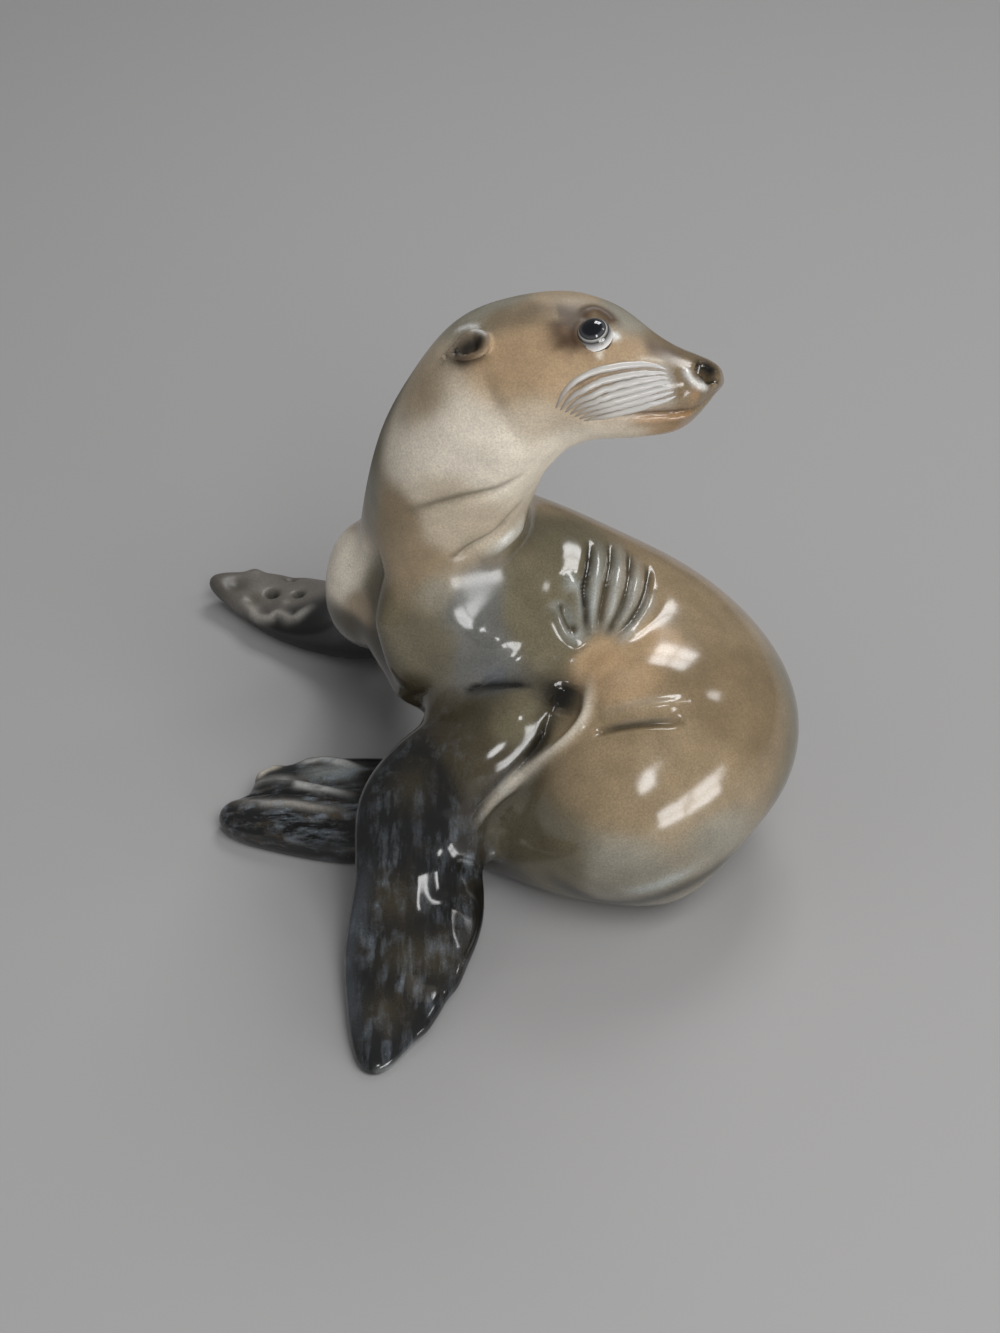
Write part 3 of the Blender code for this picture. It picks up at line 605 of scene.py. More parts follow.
# Where the glaze is duller: place, radius and amount
SATIN_ZONES: list[tuple[Point, float, float]] = [
    ((-45, 0, 118), 30, 1.0),
    ((-20, -5, 146), 28, 1.0),
    ((0, -8, 156), 16, 0.9),
    ((-68, 4, 70), 17, 0.8),
    ((-95, 84, 10), 36, 0.65),
    ((-85, -12, 10), 24, 0.2),
]
SHOULDER_FOOT: Point = (-68, 6, 50)
CHEST_EDGE: Point = (-56, -9, 57)
SHOULDER_VALLEY: Line = [
    (-59.7, -5.5, 92.6), (-60.5, -1.7, 78.5), (-60.2, -4.1, 67), (-57.9, -6.4, 56.9),
    (-53.1, -10.2, 49.6),
]
RUMP_SHADE: Line = [
    (-12.6, -55.9, 21.8), (-2.2, -60.4, 22.3), (10.5, -62.8, 30.1), (23.7, -58, 32.8),
    (33.2, -51.1, 33),
]
# Painted shade along the rump's bottom edge
PAINTED_RUMP_EDGE_SHADE: Line = [
    (-17.8, -52.7, 22.4), (-9.8, -54.8, 16.1), (-1.8, -54.4, 11.5), (7.3, -57.7, 14.2),
    (17.7, -58.5, 18.8), (28.5, -52.1, 20.8), (36.5, -43.5, 22.1),
]
# A painted reflection along the rump, just above its bottom edge
PAINTED_RUMP_REFLECTION: Line = [(2.6, -60.5, 20.3), (9.6, -61.5, 22.2), (16.5, -60.6, 25), (25.3, -56.6, 27.3)]
EAR_SHADE: Line = [
    (-42.7, -8.8, 152.2), (-39.4, -11.5, 152.7), (-35.7, -12.9, 154.1), (-32.5, -12.2, 156.3),
]
# A painted bluish reflection along the near flipper's leading edge
PAINTED_EDGE_REFLECTION: Line = [
    (-62.1, -50.2, 25.8), (-66.3, -60.5, 13.8), (-68.5, -74, 6.9), (-66.9, -89.2, 5.5),
    (-62.5, -104.1, 4.5),
]
# A painted highlight along the edge of the near flipper's tip
PAINTED_TIP_HIGHLIGHT: Line = [
    (-60.7, -107.5, 2.6), (-55.7, -104.8, 1.2), (-51.6, -99.5, 1.9), (-45.7, -91.7, 2.6),
]
# Brownish and greyish drifts on the near flipper, partly painted reflections
BROWN_DRIFTS_AND_REFLECTIONS: Line = [
    (-55.9, -60.1, 17.1), (-53.8, -74.2, 10.6), (-44.5, -74.8, 10.2), (-57.8, -90.7, 7.1),
    (-52, -40, 40),
]
GREY_DRIFTS_AND_REFLECTIONS: Line = [(-57.8, -55, 22.3), (-61.8, -70.3, 10.5), (-52.9, -83.3, 8.7)]
HAUNCH_GLOW: Point = (-1, -25, 67)
# Where the haze blooms: on the near flipper by station and angle, on the hind ones by place
HAZE_STATIONS = (3, 4, 5, 6, 7, 8, 9, 9.8)
HAZE_ANGLES = (320, 20)
HIND_HAZE: Line = [(-74, -18, 12), (-86, -18, 10), (-97, -14, 8), (-76, 0, 12)]

# Where the head sinks in round an eye: mark, height and radius
SOCKET_DABS: tuple[tuple[Mark, float, float], ...] = (
    (Anatomy.SOCKET[0], -0.7, 5),
    (Anatomy.SOCKET[1], -0.7, 5),
    (Anatomy.EYE, -1.2, 7),
)
FACE_CUTS = [
    Cut(Anatomy.UPPER_LID, 0.9, 1.6),
    Cut(Anatomy.TEAR, 0.6, 0.9),
    Cut(Anatomy.TEAR_STREAK, 0.4, 0.9),
    Cut(Anatomy.SNOUT_STRIPE, 0.4, 0.8),
    Cut(Anatomy.NOSTRIL, -3.6, 1.7, 3, 0.15),
    Cut(Anatomy.NOSTRIL_RIM, 1.0, 1.0),
    Cut(Anatomy.MOUTH, -1.5, 0.7),
    Cut(Anatomy.LIP, 0.6, 1.8),
    Cut(Anatomy.CHEEK_FOLD, -0.7, 2.4),
]
# Broad strokes, which are smoothed afterwards
FORM_CUTS = [
    Cut(NECK_ROLL, 2.0, 2.6),
    Cut(NECK_VALLEY, -1.2, 3.2),
    Cut(SHOULDER_SEAM, 4.5, 7),
    *(Cut(ridge, 0.8, 3.2) for ridge in DIGIT_RIDGES),
    *(Cut(knuckle, 0.9, 3.4, ends=0) for knuckle in KNUCKLES),
]
FINE_CUTS = [
    *(Cut(ridge, 1.3, 2.2, ends=0.3) for ridge in FLANK_RIDGES),
    *(Cut(groove, -1.6, 1.2) for groove in FLANK_GROOVES),
    Cut(NECK_CREASE, -1.7, 1.1, 1.4),
    Cut(ARM_CREASE, -1.7, 1.2, 1.5),
    Cut(ARM_WRINKLE, -0.7, 1.0),
    Cut(ARMPIT, -1.6, 3.0),
    Cut(WEB_RIDGE, 1.7, 1.9, 2.5),
    Cut(ARM_EDGE, -1.6, 1.2, 1.5),
    Cut(HAUNCH_RIDGE, 1.4, 1.8),
    Cut(HAUNCH_LOW, -1.8, 1.3, 1.5, 0.12),
    Cut(HAUNCH_TOP, -0.6, 1.2),
    Cut(FAR_RIM, 1.3, 1.8),
    *(Cut(ridge, 1.1, 1.3, 2.5) for ridge in HIND_RIDGES),
    *(Cut(groove, -1.1, 0.8, 1.6) for groove in HIND_GROOVES),
]


class Ink(Enum):
    """The colours sprayed on the figurine, as sRGB hex: its underglaze, and painted shade and
    highlights.
    """

    BONE = "e6dccb"
    CREAM = "bfb19b"
    SAND = "a8967c"
    TAN = "a98f6f"
    UMBER = "8f7d62"
    EARTH = "7d6c53"
    PEACH = "b79b78"
    DUSK = "62625f"
    OLIVE = "67604c"
    MOSS = "474031"
    STONE = "8a8577"
    SMOKE = "6f6a64"
    SLATE = "565b62"
    MIST = "a8aeac"
    ASH = "b5b0a8"
    CHARCOAL = "1b1c1d"
    SOOT = "0c0c0b"
    COCOA = "452f18"
    RUST = "b0865c"
    WHITE = "dcdcd8"


def linear(code: str) -> np.ndarray:
    """An sRGB hex colour as linear red, green and blue."""
    channels = np.array([int(code[k : k + 2], 16) for k in (0, 2, 4)]) / 255
    return np.where(channels <= 0.04045, channels / 12.92, ((channels + 0.055) / 1.055) ** 2.4)


# Where a pattern runs along the hind and the fore flippers: two corners, and a scale per axis
FLOWS: tuple[tuple[Point, Point, Point], ...] = (
    ((-math.inf, -38, -math.inf), (-58, 14, 26), (0.16, 1, 1)),
    ((-math.inf, -math.inf, -math.inf), (-24, -38, 50), (1, 0.2, 0.3)),
)


class Spray(NamedTuple):
    """A pass of the airbrush along a line."""

    points: Line
    ink: Ink
    width: float
    cover: float
    ends: float = 0.3


class Puff(NamedTuple):
    """A soft round spot of the airbrush."""

    point: Point
    ink: Ink
    radius: float
    cover: float


class Airbrush(Skin):
    """Sprays underglaze colours on the points of a mesh."""

    def __init__(self, obj: bpy.types.Object) -> None:
        """Starts bare."""
        super().__init__(obj)
        self.colours = np.zeros_like(self.points)
        self.haze = np.zeros(len(self.points))
        self.gloss = np.ones(len(self.points))

    def ground(self, spots: dict[Ink, list[tuple[Point, float]]]) -> None:
        """Lays the ground coat, a soft blend between spots of colour.

        Args:
            spots: the spots of each ink, by place and by how far it reaches.
        """
        total = np.full((len(self.points), 1), 1e-9)
        mixed = np.zeros((len(self.points), 3))
        for ink, places in spots.items():
            for place, reach in places:
                weight = (1 / (1 + (self.distances(place) / reach) ** 2) ** 4)[:, None]
                mixed += weight * linear(ink.value)
                total += weight
        self.colours = mixed / total

    def lay(self, near: Any, cover: Any, ink: Ink) -> None:
        """Covers some points with an ink, by a share from 0 to 1 for each."""
        cover = np.clip(cover, 0, 1)[:, None]
        self.colours[near] += (linear(ink.value) - self.colours[near]) * cover

    def spray(
        self, points: Sequence[Any], ink: Ink, width: float, cover: float, ends: float = 0.3
    ) -> None:
        """Sprays a soft line along a path on the skin."""
        near, distance, share = self.along(points, 2.5 * width)
        self.lay(near, cover * np.exp(-((distance / width) ** 2)) * tapered(share, ends), ink)

    def puff(self, point: Any, ink: Ink, radius: float, cover: float) -> None:
        """Sprays a soft round spot."""
        distance = self.distances(point)
        near = np.flatnonzero(distance < 2.5 * radius)
        self.lay(near, cover * np.exp(-((distance[near] / radius) ** 2)), ink)

    def coat(self, passes: Iterable[Spray | Puff]) -> None:
        """Lays several passes in their order."""
        for one in passes:
            lay = self.puff if isinstance(one, Puff) else self.spray
            lay(*one)

    def cloud(self, point: Any, radius: float, amount: float) -> None:
        """Lets a bluish haze bloom on the dark glaze round a point, on the near flipper partly a painted
        reflection.
        """
        bloom = amount * np.exp(-((self.distances(point) / radius) ** 2))
        self.haze = np.maximum(self.haze, bloom)

    def satin(self, point: Any, radius: float, amount: float) -> None:
        """Dulls the glaze softly round a point."""
        dull = amount * np.exp(-((self.distances(point) / radius) ** 4))
        self.gloss = np.minimum(self.gloss, 1 - dull)

    def flow(self) -> np.ndarray:
        """Places drawn together along the flippers, so that a pattern runs down them."""
        places = self.points.copy()
        for low, high, scale in FLOWS:
            inside = np.all((self.points > low) & (self.points < high), axis=1)
            places[inside] *= scale
        return places * MM

    def finish(self) -> None:
        """Writes the colours, the haze, the gloss and the flow to the mesh."""
        layer = self.mesh.color_attributes.new("underglaze", "FLOAT_COLOR", "POINT")
        full = np.column_stack((np.clip(self.colours, 0, 1), self.haze))
        layer.data.foreach_set("color", full.astype(np.float32).ravel())
        layer = self.mesh.attributes.new("gloss", "FLOAT", "POINT")
        layer.data.foreach_set("value", self.gloss.astype(np.float32))
        layer = self.mesh.attributes.new("flow", "FLOAT_VECTOR", "POINT")
        layer.data.foreach_set("vector", self.flow().astype(np.float32).ravel())


# The ground coat: places of each ink, and how far they reach
GROUND: dict[Ink, list[tuple[Point, float]]] = {
    # The sand spot on the crown, at (-14.7, 2.5, 163), is partly a painted highlight along the top of
    # the head
    Ink.SAND: [((-14.7, 2.5, 163), 6), ((-50, -10, 140), 8), ((-66, 0, 68), 4)],
    Ink.EARTH: [
        ((-28.3, -1, 159.4), 5), ((-21, -2.5, 161), 5), ((-14.5, -4.5, 161.8), 4),
        ((13.7, -8.7, 154.1), 8), ((34.2, -32.5, 62.3), 12),
    ],
    Ink.STONE: [
        ((-30, 5, 158), 8), ((4, -1.1, 158.7), 5), ((-63, 2, 105), 5), ((-46, -14.5, 86), 5),
        ((28.9, -54.5, 36.6), 7), ((2.9, -62.5, 26.4), 8), ((-30, 30, 120), 12),
    ],
    Ink.TAN: [
        ((-23.4, -15.8, 154.2), 10), ((-14, -18, 152), 9), ((6, -14, 155), 5), ((5, -31, 66), 5),
        ((-14, 22, 148), 10),
    ],
    Ink.CREAM: [((-18.5, -22.4, 142), 8), ((-41.1, -15.9, 118), 7), ((-40, -15.9, 108), 8)],
    Ink.UMBER: [
        ((-8, -5, 162), 4), ((-54.1, -10.7, 104.3), 6), ((-64, 22, 96), 9),
        ((-49.1, -13.6, 90.4), 7), ((22.4, -4, 70.3), 12), ((7.6, -50.5, 57), 11),
        ((26, -50, 48), 10), ((20, 30, 66), 14), ((-30, 36, 80), 14),
    ],
    Ink.BONE: [
        ((-13.3, -16, 132), 9), ((-30, -20, 132), 10), ((-43.4, -16.2, 129.5), 11),
        ((-73, 6, 77), 7),
    ],
    Ink.OLIVE: [
        ((-66, 14, 112), 9), ((-60, 14, 132), 8), ((-46, -17, 70), 7), ((-17.8, -13.6, 74.2), 8),
        ((-60, -6, 75), 6), ((-10, 10, 84), 8), ((49, -14, 34), 12), ((-14, -57.4, 28), 8),
        ((0, 42, 40), 16), ((30, 20, 14), 16), ((-26, -36, 57), 5),
    ],
    Ink.DUSK: [((-36, -15.8, 80), 6), ((-33, -20, 68), 7)],
    Ink.MOSS: [
        ((-66, 0, 54), 8), ((-54, -12, 51), 8), ((-36.2, -36.5, 52.1), 8), ((-30, -41, 48), 6),
        ((-62, 30, 48), 9),
    ],
    Ink.PEACH: [((-2.1, -22.7, 67.9), 4), ((14, -17, 70), 5)],
    Ink.CHARCOAL: [
        ((-49.4, -39.6, 41), 8), ((-59.9, -50.6, 26.1), 9), ((-62.4, -66.2, 12), 9),
        ((-46.6, -67.2, 13), 9), ((-54, -87.9, 7.9), 10), ((-60, -105, 5.2), 10),
        ((-94.8, -15.5, 9.7), 8), ((-66, -24, 10), 8), ((-84.2, -3.3, 13.2), 6),
    ],
    # The soot spots low on the far flipper, at (-102, 76.5, 2), (-90, 67.5, 3) and (-80, 62, 10), are
    # painted shade along its underside
    Ink.SOOT: [
        ((-38.8, -60, 11), 8), ((-83.2, -25.7, 7.6), 8), ((-102, 76.5, 2), 6), ((-90, 67.5, 3), 9),
        ((-80, 62, 10), 9), ((-62, 50, 26), 9),
    ],
    Ink.SMOKE: [((-104.7, 87, 9.7), 9), ((-92, 86, 9), 7)],
}

BODY_COATS = [
    # Painted shade in the neck crease
    Spray(NECK_CREASE, Ink.MOSS, 1.6, 0.75),
    # Pale colour of the neck roll with a painted highlight on it, then a brighter painted white
    # highlight
    Spray(NECK_ROLL, Ink.MIST, 2.4, 0.5),
    Spray(PAINTED_ROLL_HIGHLIGHT, Ink.WHITE, 1.0, 0.7),
    # Painted shade in the valley of the neck
    Spray(NECK_VALLEY, Ink.MOSS, 3.5, 0.5),
    # Painted shade in the valley where the far shoulder meets the chest, at the shoulder's foot and
    # along the chest's left edge
    Spray(SHOULDER_VALLEY, Ink.MOSS, 6, 0.5),
    Spray(SHOULDER_SEAM, Ink.MOSS, 5, 0.6),
    Puff(SHOULDER_FOOT, Ink.MOSS, 10, 0.7),
    Puff(CHEST_EDGE, Ink.SOOT, 9, 0.5),
    *(Spray(ridge, Ink.MIST, 2.0, 0.65) for ridge in FLANK_RIDGES),
    # Painted shade in the grooves between the flank folds, darkest in the second
    *(Spray(groove, Ink.MOSS, 1.3, 1.0, 0.15) for groove in FLANK_GROOVES),
    Spray(FLANK_GROOVES[1], Ink.SOOT, 1.2, 0.7),
    Puff(HAUNCH_GLOW, Ink.RUST, 5, 0.12),
    # Painted shade along the arm's edge, in its crease and wrinkle, and deep in the armpit
    Spray(ARM_EDGE, Ink.SOOT, 3.0, 0.9),
    Spray(ARM_WRINKLE, Ink.SLATE, 3.0, 0.6),
    Spray(ARM_CREASE, Ink.SOOT, 1.2, 0.9, 0.15),
    Spray(ARMPIT, Ink.SOOT, 6.5, 0.92),
    Puff(ARMPIT[1], Ink.SOOT, 7, 0.8),
    Spray(WEB_RIDGE, Ink.BONE, 1.6, 0.75),
    # Painted shade in the low groove of the haunch
    Spray(HAUNCH_LOW, Ink.MOSS, 1.3, 0.9),
    Spray(HAUNCH_RIDGE, Ink.CREAM, 1.6, 0.5),
    Spray(RUMP_SHADE, Ink.MOSS, 5, 0.2),
    # Painted shade along the rump's bottom edge, then a painted reflection just above it
    Spray(PAINTED_RUMP_EDGE_SHADE, Ink.SOOT, 3.6, 0.75, 0.15),
    Spray(PAINTED_RUMP_REFLECTION, Ink.MIST, 2.2, 0.6),
    # Brownish drifts on the near flipper, partly painted reflections
    *(Puff(place, Ink.MOSS, 6, 0.6) for place in BROWN_DRIFTS_AND_REFLECTIONS),
    # A painted bluish reflection along the near flipper's leading edge
    Spray(PAINTED_EDGE_REFLECTION, Ink.SLATE, 3.2, 0.55),
    # A painted highlight along the edge of the near flipper's tip
    Spray(PAINTED_TIP_HIGHLIGHT, Ink.MIST, 1.2, 0.6),
    Puff(FAR_TIP, Ink.SOOT, 7, 0.9),
    Spray(FAR_RIM, Ink.ASH, 1.9, 0.6, 0.15),
    Spray(HIND_RIDGES[0], Ink.WHITE, 1.5, 0.75),
    Spray(HIND_RIDGES[1], Ink.ASH, 1.5, 0.75),
    Spray(HIND_RIDGES[2], Ink.WHITE, 1.5, 0.75),
    Spray(HIND_RIDGES[3], Ink.BONE, 1.5, 0.75),
    # A painted highlight along the hind flippers
    Spray(PAINTED_HIND_HIGHLIGHT, Ink.MIST, 3.5, 0.65),
    # Painted shade in the grooves of the hind flippers
    *(Spray(groove, Ink.SOOT, 0.9, 0.9) for groove in HIND_GROOVES),
]


def add(tree: bpy.types.NodeTree, kind: str, settings: dict[Any, Any], **links: Any) -> Any:
    """Adds a node with its settings and links.

    Args:
        tree: the node tree.
        kind: the node's type.
        settings: a value for each property name, or for each input's number or name.
        links: output sockets by the number or name of the input that they feed, an input's
            number written as i0, i1 and so on.

    Returns:
        The node.
    """
    made = tree.nodes.new(kind)
    for key, value in settings.items():
        if isinstance(key, str) and hasattr(made, key):
            setattr(made, key, value)
        else:
            made.inputs[key].default_value = value
    for key, socket in links.items():
        target = int(key[1:]) if key[1:].isdigit() else key.replace("_", " ")
        tree.links.new(socket, made.inputs[target])
    return made


def noise(tree: Any, place: Any, size: float, detail: float, roughness: float = 0.5) -> Any:
    """Noise whose features have about this size, in millimetres."""
    settings = {"Scale": 1 / (size * MM), "Detail": detail, "Roughness": roughness}
    return add(tree, "ShaderNodeTexNoise", settings, Vector=place).outputs[0]


def ranged(tree: Any, value: Any, low: float, high: float, first: float, last: float) -> Any:
    """A value between low and high, brought to between first and last."""
    settings = {1: low, 2: high, 3: first, 4: last}
    return add(tree, "ShaderNodeMapRange", settings, i0=value).outputs[0]


def worked(tree: Any, operation: str, *values: Any) -> Any:
    """What a Math node makes of some values."""
    links = {f"i{index}": value for index, value in enumerate(values)}
    return add(tree, "ShaderNodeMath", {"operation": operation}, **links).outputs[0]


def attribute(tree: Any, name: str, output: str = "Fac") -> Any:
    """An attribute of the mesh."""
    return add(tree, "ShaderNodeAttribute", {"attribute_name": name}).outputs[output]


def ramp(tree: Any, value: Any, stops: Sequence[tuple[float, str]]) -> Any:
    """Colours along a value from 0 to 1, the places of the first and the last stop."""
    made = add(tree, "ShaderNodeValToRGB", {}, i0=value)
    elements = made.color_ramp.elements
    for place, _ in stops[1:-1]:
        elements.new(place)
    for element, (_, code) in zip(elements, stops):
        element.color = (*linear(code), 1)
    return made.outputs[0]


def shader_of(name: str) -> tuple[bpy.types.Material, bpy.types.NodeTree, Any]:
    """A new material with its tree and its Principled shader."""
    material = bpy.data.materials.new(name)
    material.use_nodes = True
    tree = material.node_tree
    return material, tree, tree.nodes["Principled BSDF"]


@dataclass(frozen=True)
class PaintedPorcelain:
    """Hard-paste porcelain, sprayed with underglaze colours and glaze-fired.

    The colour lies under a clear glaze, so the eye sees fine sprayed grains of pigment under
    one smooth, mirror-like skin that pools a little and is nowhere quite flat.
    """

    grain: float = 0.55
    mottle: float = 7.0
    streak: float = 2.6
    ripple: float = 9.0
    ripple_height: float = 0.2
    warm: str = "4f463a"
    cool: str = "848d96"
    satin: float = 0.62
    wet: float = 0.15

    def material(self) -> bpy.types.Material:
        """Builds the node tree."""
        material, tree, shader = shader_of("painted_glazed_porcelain")
        place = add(tree, "ShaderNodeTexCoord", {}).outputs["Object"]
        grains = noise(tree, place, self.grain, 3, 0.6)
        patches = noise(tree, place, self.mottle, 4, 0.55)
        streaks = noise(tree, attribute(tree, "flow", "Vector"), self.streak, 4, 0.6)
        grain_tone = ranged(tree, grains, 0.3, 0.7, 0.82, 1.2)
        patch_tone = ranged(tree, patches, 0.3, 0.7, 0.88, 1.1)
        tone = worked(tree, "MULTIPLY", grain_tone, patch_tone)
        veil = add(
            tree,
            "ShaderNodeMix",
            {"data_type": "RGBA", 6: (*linear(self.warm), 1), 7: (*linear(self.cool), 1)},
            i0=ranged(tree, patches, 0.42, 0.58, 0, 1),
        )
        bloom = ranged(tree, streaks, 0.45, 0.7, 0, 0.9)
        hazed = worked(tree, "MULTIPLY", bloom, attribute(tree, "underglaze", "Alpha"))
        specks = ranged(tree, grains, 0.6, 0.74, 0, 1.2)
        bluish = add(
            tree,
            "ShaderNodeMix",
            {"data_type": "RGBA"},
            i0=worked(tree, "MULTIPLY_ADD", specks, hazed, hazed),
            i6=attribute(tree, "underglaze", "Color"),
            i7=veil.outputs[2],
        )
        toned = add(
            tree, "ShaderNodeVectorMath", {"operation": "SCALE"}, i0=bluish.outputs[2], Scale=tone
        )
        tree.links.new(toned.outputs[0], shader.inputs["Base Color"])
        waves = noise(tree, place, self.ripple, 0)
        settings = {"Strength": 0.3, "Distance": self.ripple_height * MM}
        bump = add(tree, "ShaderNodeBump", settings, Height=waves)
        tree.links.new(bump.outputs[0], shader.inputs["Normal"])
        rough = ranged(tree, attribute(tree, "gloss"), 0, 1, self.satin, self.wet)
        tree.links.new(rough, shader.inputs["Roughness"])
        shader.inputs["IOR"].default_value = 1.7
        return material


@dataclass(frozen=True)
class EyeGlaze:
    """Black and blue-grey underglaze on a round eye under thick glaze: a wet, deep shine."""

    roughness: float = 0.05

    def material(self) -> bpy.types.Material:
        """Builds the node tree. The attribute is the angle from the gaze, as a share of 90°."""
        material, tree, shader = shader_of("glazed_eye")
        # Pupil, iris and pale ring, then the white of the eye, and beyond it painted shade where the lid
        # shadows the ball
        colours = (
            (0, "0b0d12"), (0.34, "10131a"), (0.44, "4c4c50"), (0.51, "2a2929"),
            (0.54, "b4b4b2"), (0.58, "8a8884"), (0.64, "241f1b"), (1, "ffffff"), (1, "241f1b"),
        )
        colour = ramp(tree, attribute(tree, "gaze_angle"), colours)
        tree.links.new(colour, shader.inputs["Base Color"])
        shader.inputs["Roughness"].default_value = self.roughness
        shader.inputs["IOR"].default_value = 1.5
        shader.inputs["Coat Weight"].default_value = 1.0
        shader.inputs["Coat Roughness"].default_value = 0.02
        return material


@dataclass(frozen=True)
class WhiskerGlaze:
    """Bare white porcelain under clear glaze: bright strands that grey towards their ends."""

    roughness: float = 0.25

    def material(self) -> bpy.types.Material:
        """Builds the node tree."""
        material, tree, shader = shader_of("glazed_whisker")
        colours = ((0, "c6c4c2"), (0.7, "bcb8b2"), (1, "8a8074"))
        colour = ramp(tree, attribute(tree, "share"), colours)
        tree.links.new(colour, shader.inputs["Base Color"])
        shader.inputs["Roughness"].default_value = self.roughness
        shader.inputs["IOR"].default_value = 1.5
        shader.inputs["Coat Weight"].default_value = 0.6
        shader.inputs["Coat Roughness"].default_value = 0.04
        return material


@dataclass(frozen=True)
class StudioPaper:
    """Matt grey background paper, laid flat under the figurine."""

    colour: str = "adacac"

    def material(self) -> bpy.types.Material:
        """Builds the node tree."""
        material, tree, shader = shader_of("grey_paper")
        shader.inputs["Base Color"].default_value = (*linear(self.colour), 1)
        shader.inputs["Roughness"].default_value = 0.9
        shader.inputs["Specular IOR Level"].default_value = 0.1
        return material


@dataclass
class Figurine:
    """The animal itself, from limbs to painted skin."""

    anatomy: Anatomy
    clay_detail: float = 0.8
    skin_detail: float = 0.5
    fillet: float = 3.0
    joint_smoothing: int = 12
    shoulder_smoothing: int = 110
    shoulder_reach: float = 13.0
    skin_smoothing: int = 3
    form_smoothing: int = 5
    cut_smoothing: int = 1
    polishing: int = 2
    triangles: int = 196000
    foot_cut: float = 0.6
    eye_radius: float = 4.2
    eye_sink: float = 1.8
    lid_reach: float = 4.5
    lid_shade: float = 5.2
    ear_half_width: float = 4.6
    ear_thickness: float = 2.8
    ear_widths: tuple[float, ...] = (0.45, 0.8, 1.0, 1.0, 0.85, 0.55, 0.1)
    ear_hollow: float = 3.4
    whisker_sink: float = 0.4
    near_ear_lifts: Point = (0.5, 1.8, 2.6)
    far_ear_lifts: Point = (0.1, 0.4, 0.6)
    whiskers: int = 7
    dents: int = 30
    dent_seed: int = 11
    deep_hollow: float = 2.0

    def ear(self, turn: Turn, lifts: Point) -> Limb:
        """A small pointed ear that lies back along the head, lifted off it."""
        body = self.anatomy.body
        marks = [turn(mark) for mark in self.anatomy.EAR]
        line = [body.skin_point(mark, lift) for mark, lift in zip(marks, lifts)]
        outward = body.skin_point(marks[1], 1) - body.skin_point(marks[1])
        path = curve_through(line, steps=3)
        rows = []
        for point, width in zip(path, self.ear_widths):
            thick = self.ear_thickness * math.sqrt(width) / 2
            rows.append(
                Station(tuple(point), tuple(outward), self.ear_half_width * width, thick, thick)
            )
        return Limb("ear", rows)

    def eyeball(self, mark: Mark) -> bpy.types.Object:
        """The bulge of an eye, sunk into its socket."""
        centre = self.anatomy.body.skin_point(mark, -self.eye_sink) * MM
        bpy.ops.mesh.primitive_uv_sphere_add(
            segments=32, ring_count=16, radius=self.eye_radius * MM, location=centre
        )
        return bpy.context.object

    def fused(
        self,
        objects: Sequence[bpy.types.Object],
        name: str,
        detail: float,
        smoothing: int,
        fillet: float = 0.0,
    ) -> bpy.types.Object:
        """One closed mesh over overlapping forms.

        Args:
            objects: the forms, which are used up.
            name: what the mesh is called.
            detail: the size of its voxels.
            smoothing: how many passes of smoothing it gets.
            fillet: how far the valleys between the forms are filled.

        Returns:
            The mesh object.
        """
        graph = bpy.context.evaluated_depsgraph_get()
        form = bmesh.new()
        for piece in objects:
            mesh = bpy.data.meshes.new_from_object(piece.evaluated_get(graph))
            mesh.transform(piece.matrix_world)
            form.from_mesh(mesh)
            bpy.data.meshes.remove(mesh)
            bpy.data.objects.remove(piece)
        made = linked(name, mesh_from(form, name))
        self.voxels(made, detail)
        if fillet:
            self.swell(made, fillet)
            self.voxels(made, detail)
            self.swell(made, -fillet)
        smooth(made, smoothing)
        return applied(made)

    @staticmethod
    def voxels(obj: bpy.types.Object, detail: float) -> None:
        """Rebuilds the object as one skin of even quads."""
        skin = obj.modifiers.new("skin", "REMESH")
        skin.mode = "VOXEL"
        skin.voxel_size = detail * MM

    @staticmethod
    def swell(obj: bpy.types.Object, distance: float) -> None:
        """Moves the whole skin outwards, or inwards where distance is below zero."""
        move = obj.modifiers.new("swell", "DISPLACE")
        move.mid_level = 0
        move.strength = distance * MM

    def softened(self, obj: bpy.types.Object, points: Any) -> bpy.types.Object:
        """The object, smoothed near some points."""
        group = obj.vertex_groups.new(name="soft")
        places = np.array(points)
        for vertex in obj.data.vertices:
            distance = np.linalg.norm(places - np.array(vertex.co) / MM, axis=1).min()
            if distance < self.shoulder_reach:
                weight = (1 - (distance / self.shoulder_reach) ** 2) ** 2
                group.add([vertex.index], weight, "REPLACE")
        smooth(obj, self.shoulder_smoothing).vertex_group = group.name
        return applied(obj)

    def ring_marks(self, mark: Mark, reach: float, count: int = 16) -> list[np.ndarray]:
        """Points of a ring on the skin, at a distance from a mark."""
        body = self.anatomy.body
        centre = body.skin_point(mark)
        outward = unit(body.skin_point(mark, 1) - centre)
        side = unit(np.cross(outward, UP))
        above = np.cross(side, outward)
        angles = np.linspace(0, math.tau, count + 1)
        return [centre + reach * (math.cos(a) * side + math.sin(a) * above) for a in angles]

    def carve_socket(self, chisel: Chisel, turn: Turn) -> None:
        """The hollow that an eye sits in."""
        body = self.anatomy.body
        for mark, height, radius in SOCKET_DABS:
            chisel.dab(body.skin_point(turn(mark)), height, radius)

    def whisker_rows(self, turn: Turn) -> tuple[np.ndarray, np.ndarray]:
        """Marks of the topmost and the lowest whisker."""
        rows = (self.anatomy.TOP_WHISKER, self.anatomy.LOW_WHISKER)
        top, low = (np.array([turn(mark) for mark in row]) for row in rows)
        return top, low

